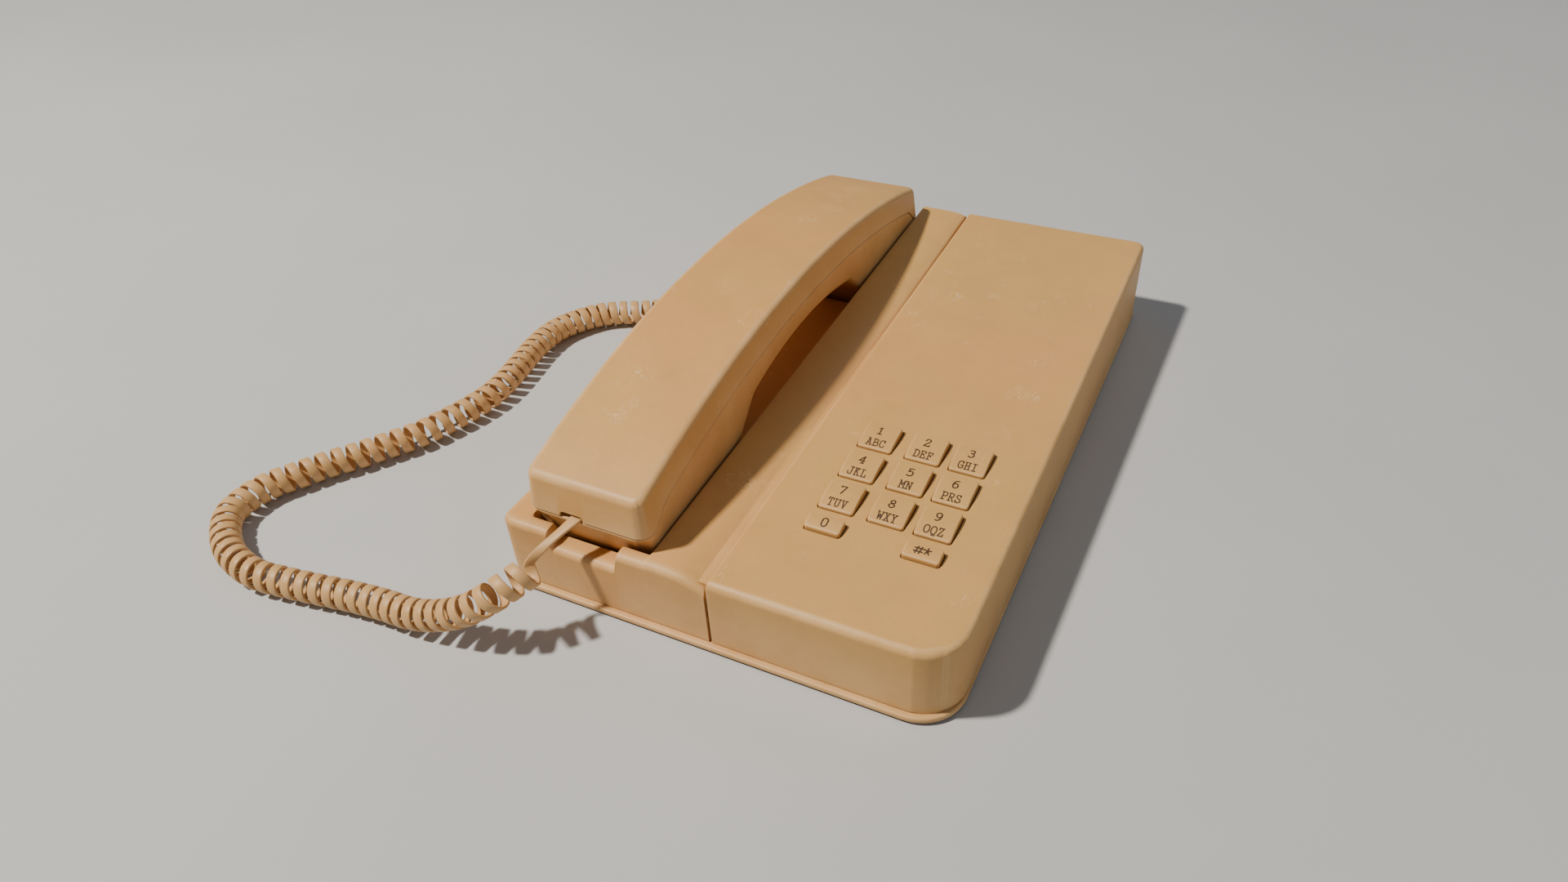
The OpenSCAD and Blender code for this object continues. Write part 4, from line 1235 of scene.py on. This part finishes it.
def plain(name, colour, roughness, metal=0.0, grain=700, depth=0.00003, vary=0.12):
    """A moulded, plated or printed surface with fine grain and a little colour variation."""
    g = Graph(name)
    shade = g.ramp(g.noise(60, 5, 0.6), 0.3, 0.7, 1 - vary, 1 + vary)
    grey = g.grey(shade)
    g.set(Base_Color=g.mix(1.0, (*colour, 1), grey, "MULTIPLY"))
    g.set(Roughness=g.ramp(g.noise(grain / 4, 4), 0.3, 0.7, roughness - 0.08, roughness + 0.08))
    g.set(Normal=g.bump(g.noise(grain, 3), depth, 0.6))
    g.shader.inputs["Metallic"].default_value = metal
    return g.material


BEIGE = aged_plastic("aged_beige", (0.670, 0.338, 0.107), (0.615, 0.348, 0.101), (0.88, 0.62, 0.34))
CORD = aged_plastic("cord_beige", (0.640, 0.368, 0.148), (0.590, 0.350, 0.132), (0.85, 0.62, 0.36))
RUBBER = plain("foot_rubber", (0.035, 0.033, 0.031), 0.8, grain=1200)
STEEL = plain("plated_steel", (0.55, 0.55, 0.54), 0.32, metal=1.0)
LAMINATE = plain("green_board", (0.03, 0.12, 0.04), 0.35)
DARK = plain("dark_moulding", (0.022, 0.022, 0.024), 0.5)
SILICONE = plain("silicone_sheet", (0.26, 0.27, 0.29), 0.65)
FILM = plain("ribbon_cable", (0.5, 0.5, 0.53), 0.35)
GOLD = plain("gold_flash", (0.80, 0.52, 0.20), 0.28, metal=1.0)
WIRE = plain("wire_sleeve", (0.26, 0.02, 0.015), 0.4)
INK = plain("legend_ink", (0.060, 0.028, 0.011), 0.5)
PLUG = plain("plug_moulding", (0.72, 0.68, 0.56), 0.25)
BY_SLOT = {
    "beige_plastic": BEIGE, "cord_vinyl": CORD, "dark_rubber": RUBBER, "bare_steel": STEEL,
    "board_laminate": LAMINATE, "black_plastic": DARK, "grey_silicone": SILICONE, "ribbon_film": FILM,
    "gold_contact": GOLD, "wire_red": WIRE, "clear_plug": PLUG,
}


def paint(piece, material):
    piece.data.materials.clear()
    piece.data.materials.append(material)


for part in frame["record"]["subparts"]:
    paint(frame["nodes"][part["node"]], BY_SLOT[part["material_slot"]])
for piece, node, body in HOUSING:
    paint(piece, BEIGE)
for piece in LEGEND_PIECES:
    paint(piece, INK)
for piece in (coil, base_lead, handset_lead):
    paint(piece, CORD)

# ---------------------------------------------------------------- stage and light


def make_floor():
    mesh = mesh_from("floor", [(-6, -6, 0), (6, -6, 0), (6, 6, 0), (-6, 6, 0)], [(0, 1, 2, 3)])
    floor = new_object("floor", mesh)
    floor.location.z = -0.0002
    g = Graph("pale_floor")
    shade = g.ramp(g.noise(6, 4), 0.3, 0.7, 0.51, 0.54)
    g.set(Base_Color=g.grey(shade))
    g.shader.inputs["Roughness"].default_value = 0.8
    mesh.materials.append(g.material)


def area_light(name, place, aim, size, power, colour):
    data = bpy.data.lights.new(name, "AREA")
    data.shape = "DISK"
    data.size = size
    data.energy = power
    data.color = colour
    light = bpy.data.objects.new(name, data)
    light.location = place
    light.rotation_euler = (Vector(aim) - Vector(place)).to_track_quat("-Z", "Y").to_euler()
    bpy.context.scene.collection.objects.link(light)


make_floor()
area_light("key", (-0.86, -0.58, 1.52), (0, 0, 0.02), 0.13, 45, (1.0, 0.94, 0.85))
area_light("fill", (1.6, 0.2, 0.8), (0, 0, 0.02), 1.4, 3.2, (0.92, 0.96, 1.0))
area_light("back", (0.2, 1.6, 1.3), (0, 0, 0.02), 1.4, 3, (0.95, 0.97, 1.0))
world = bpy.data.worlds.new("studio")
world.use_nodes = True
world.node_tree.nodes["Background"].inputs["Color"].default_value = (0.9, 0.95, 1, 1)
world.node_tree.nodes["Background"].inputs["Strength"].default_value = 0.16
bpy.context.scene.world = world
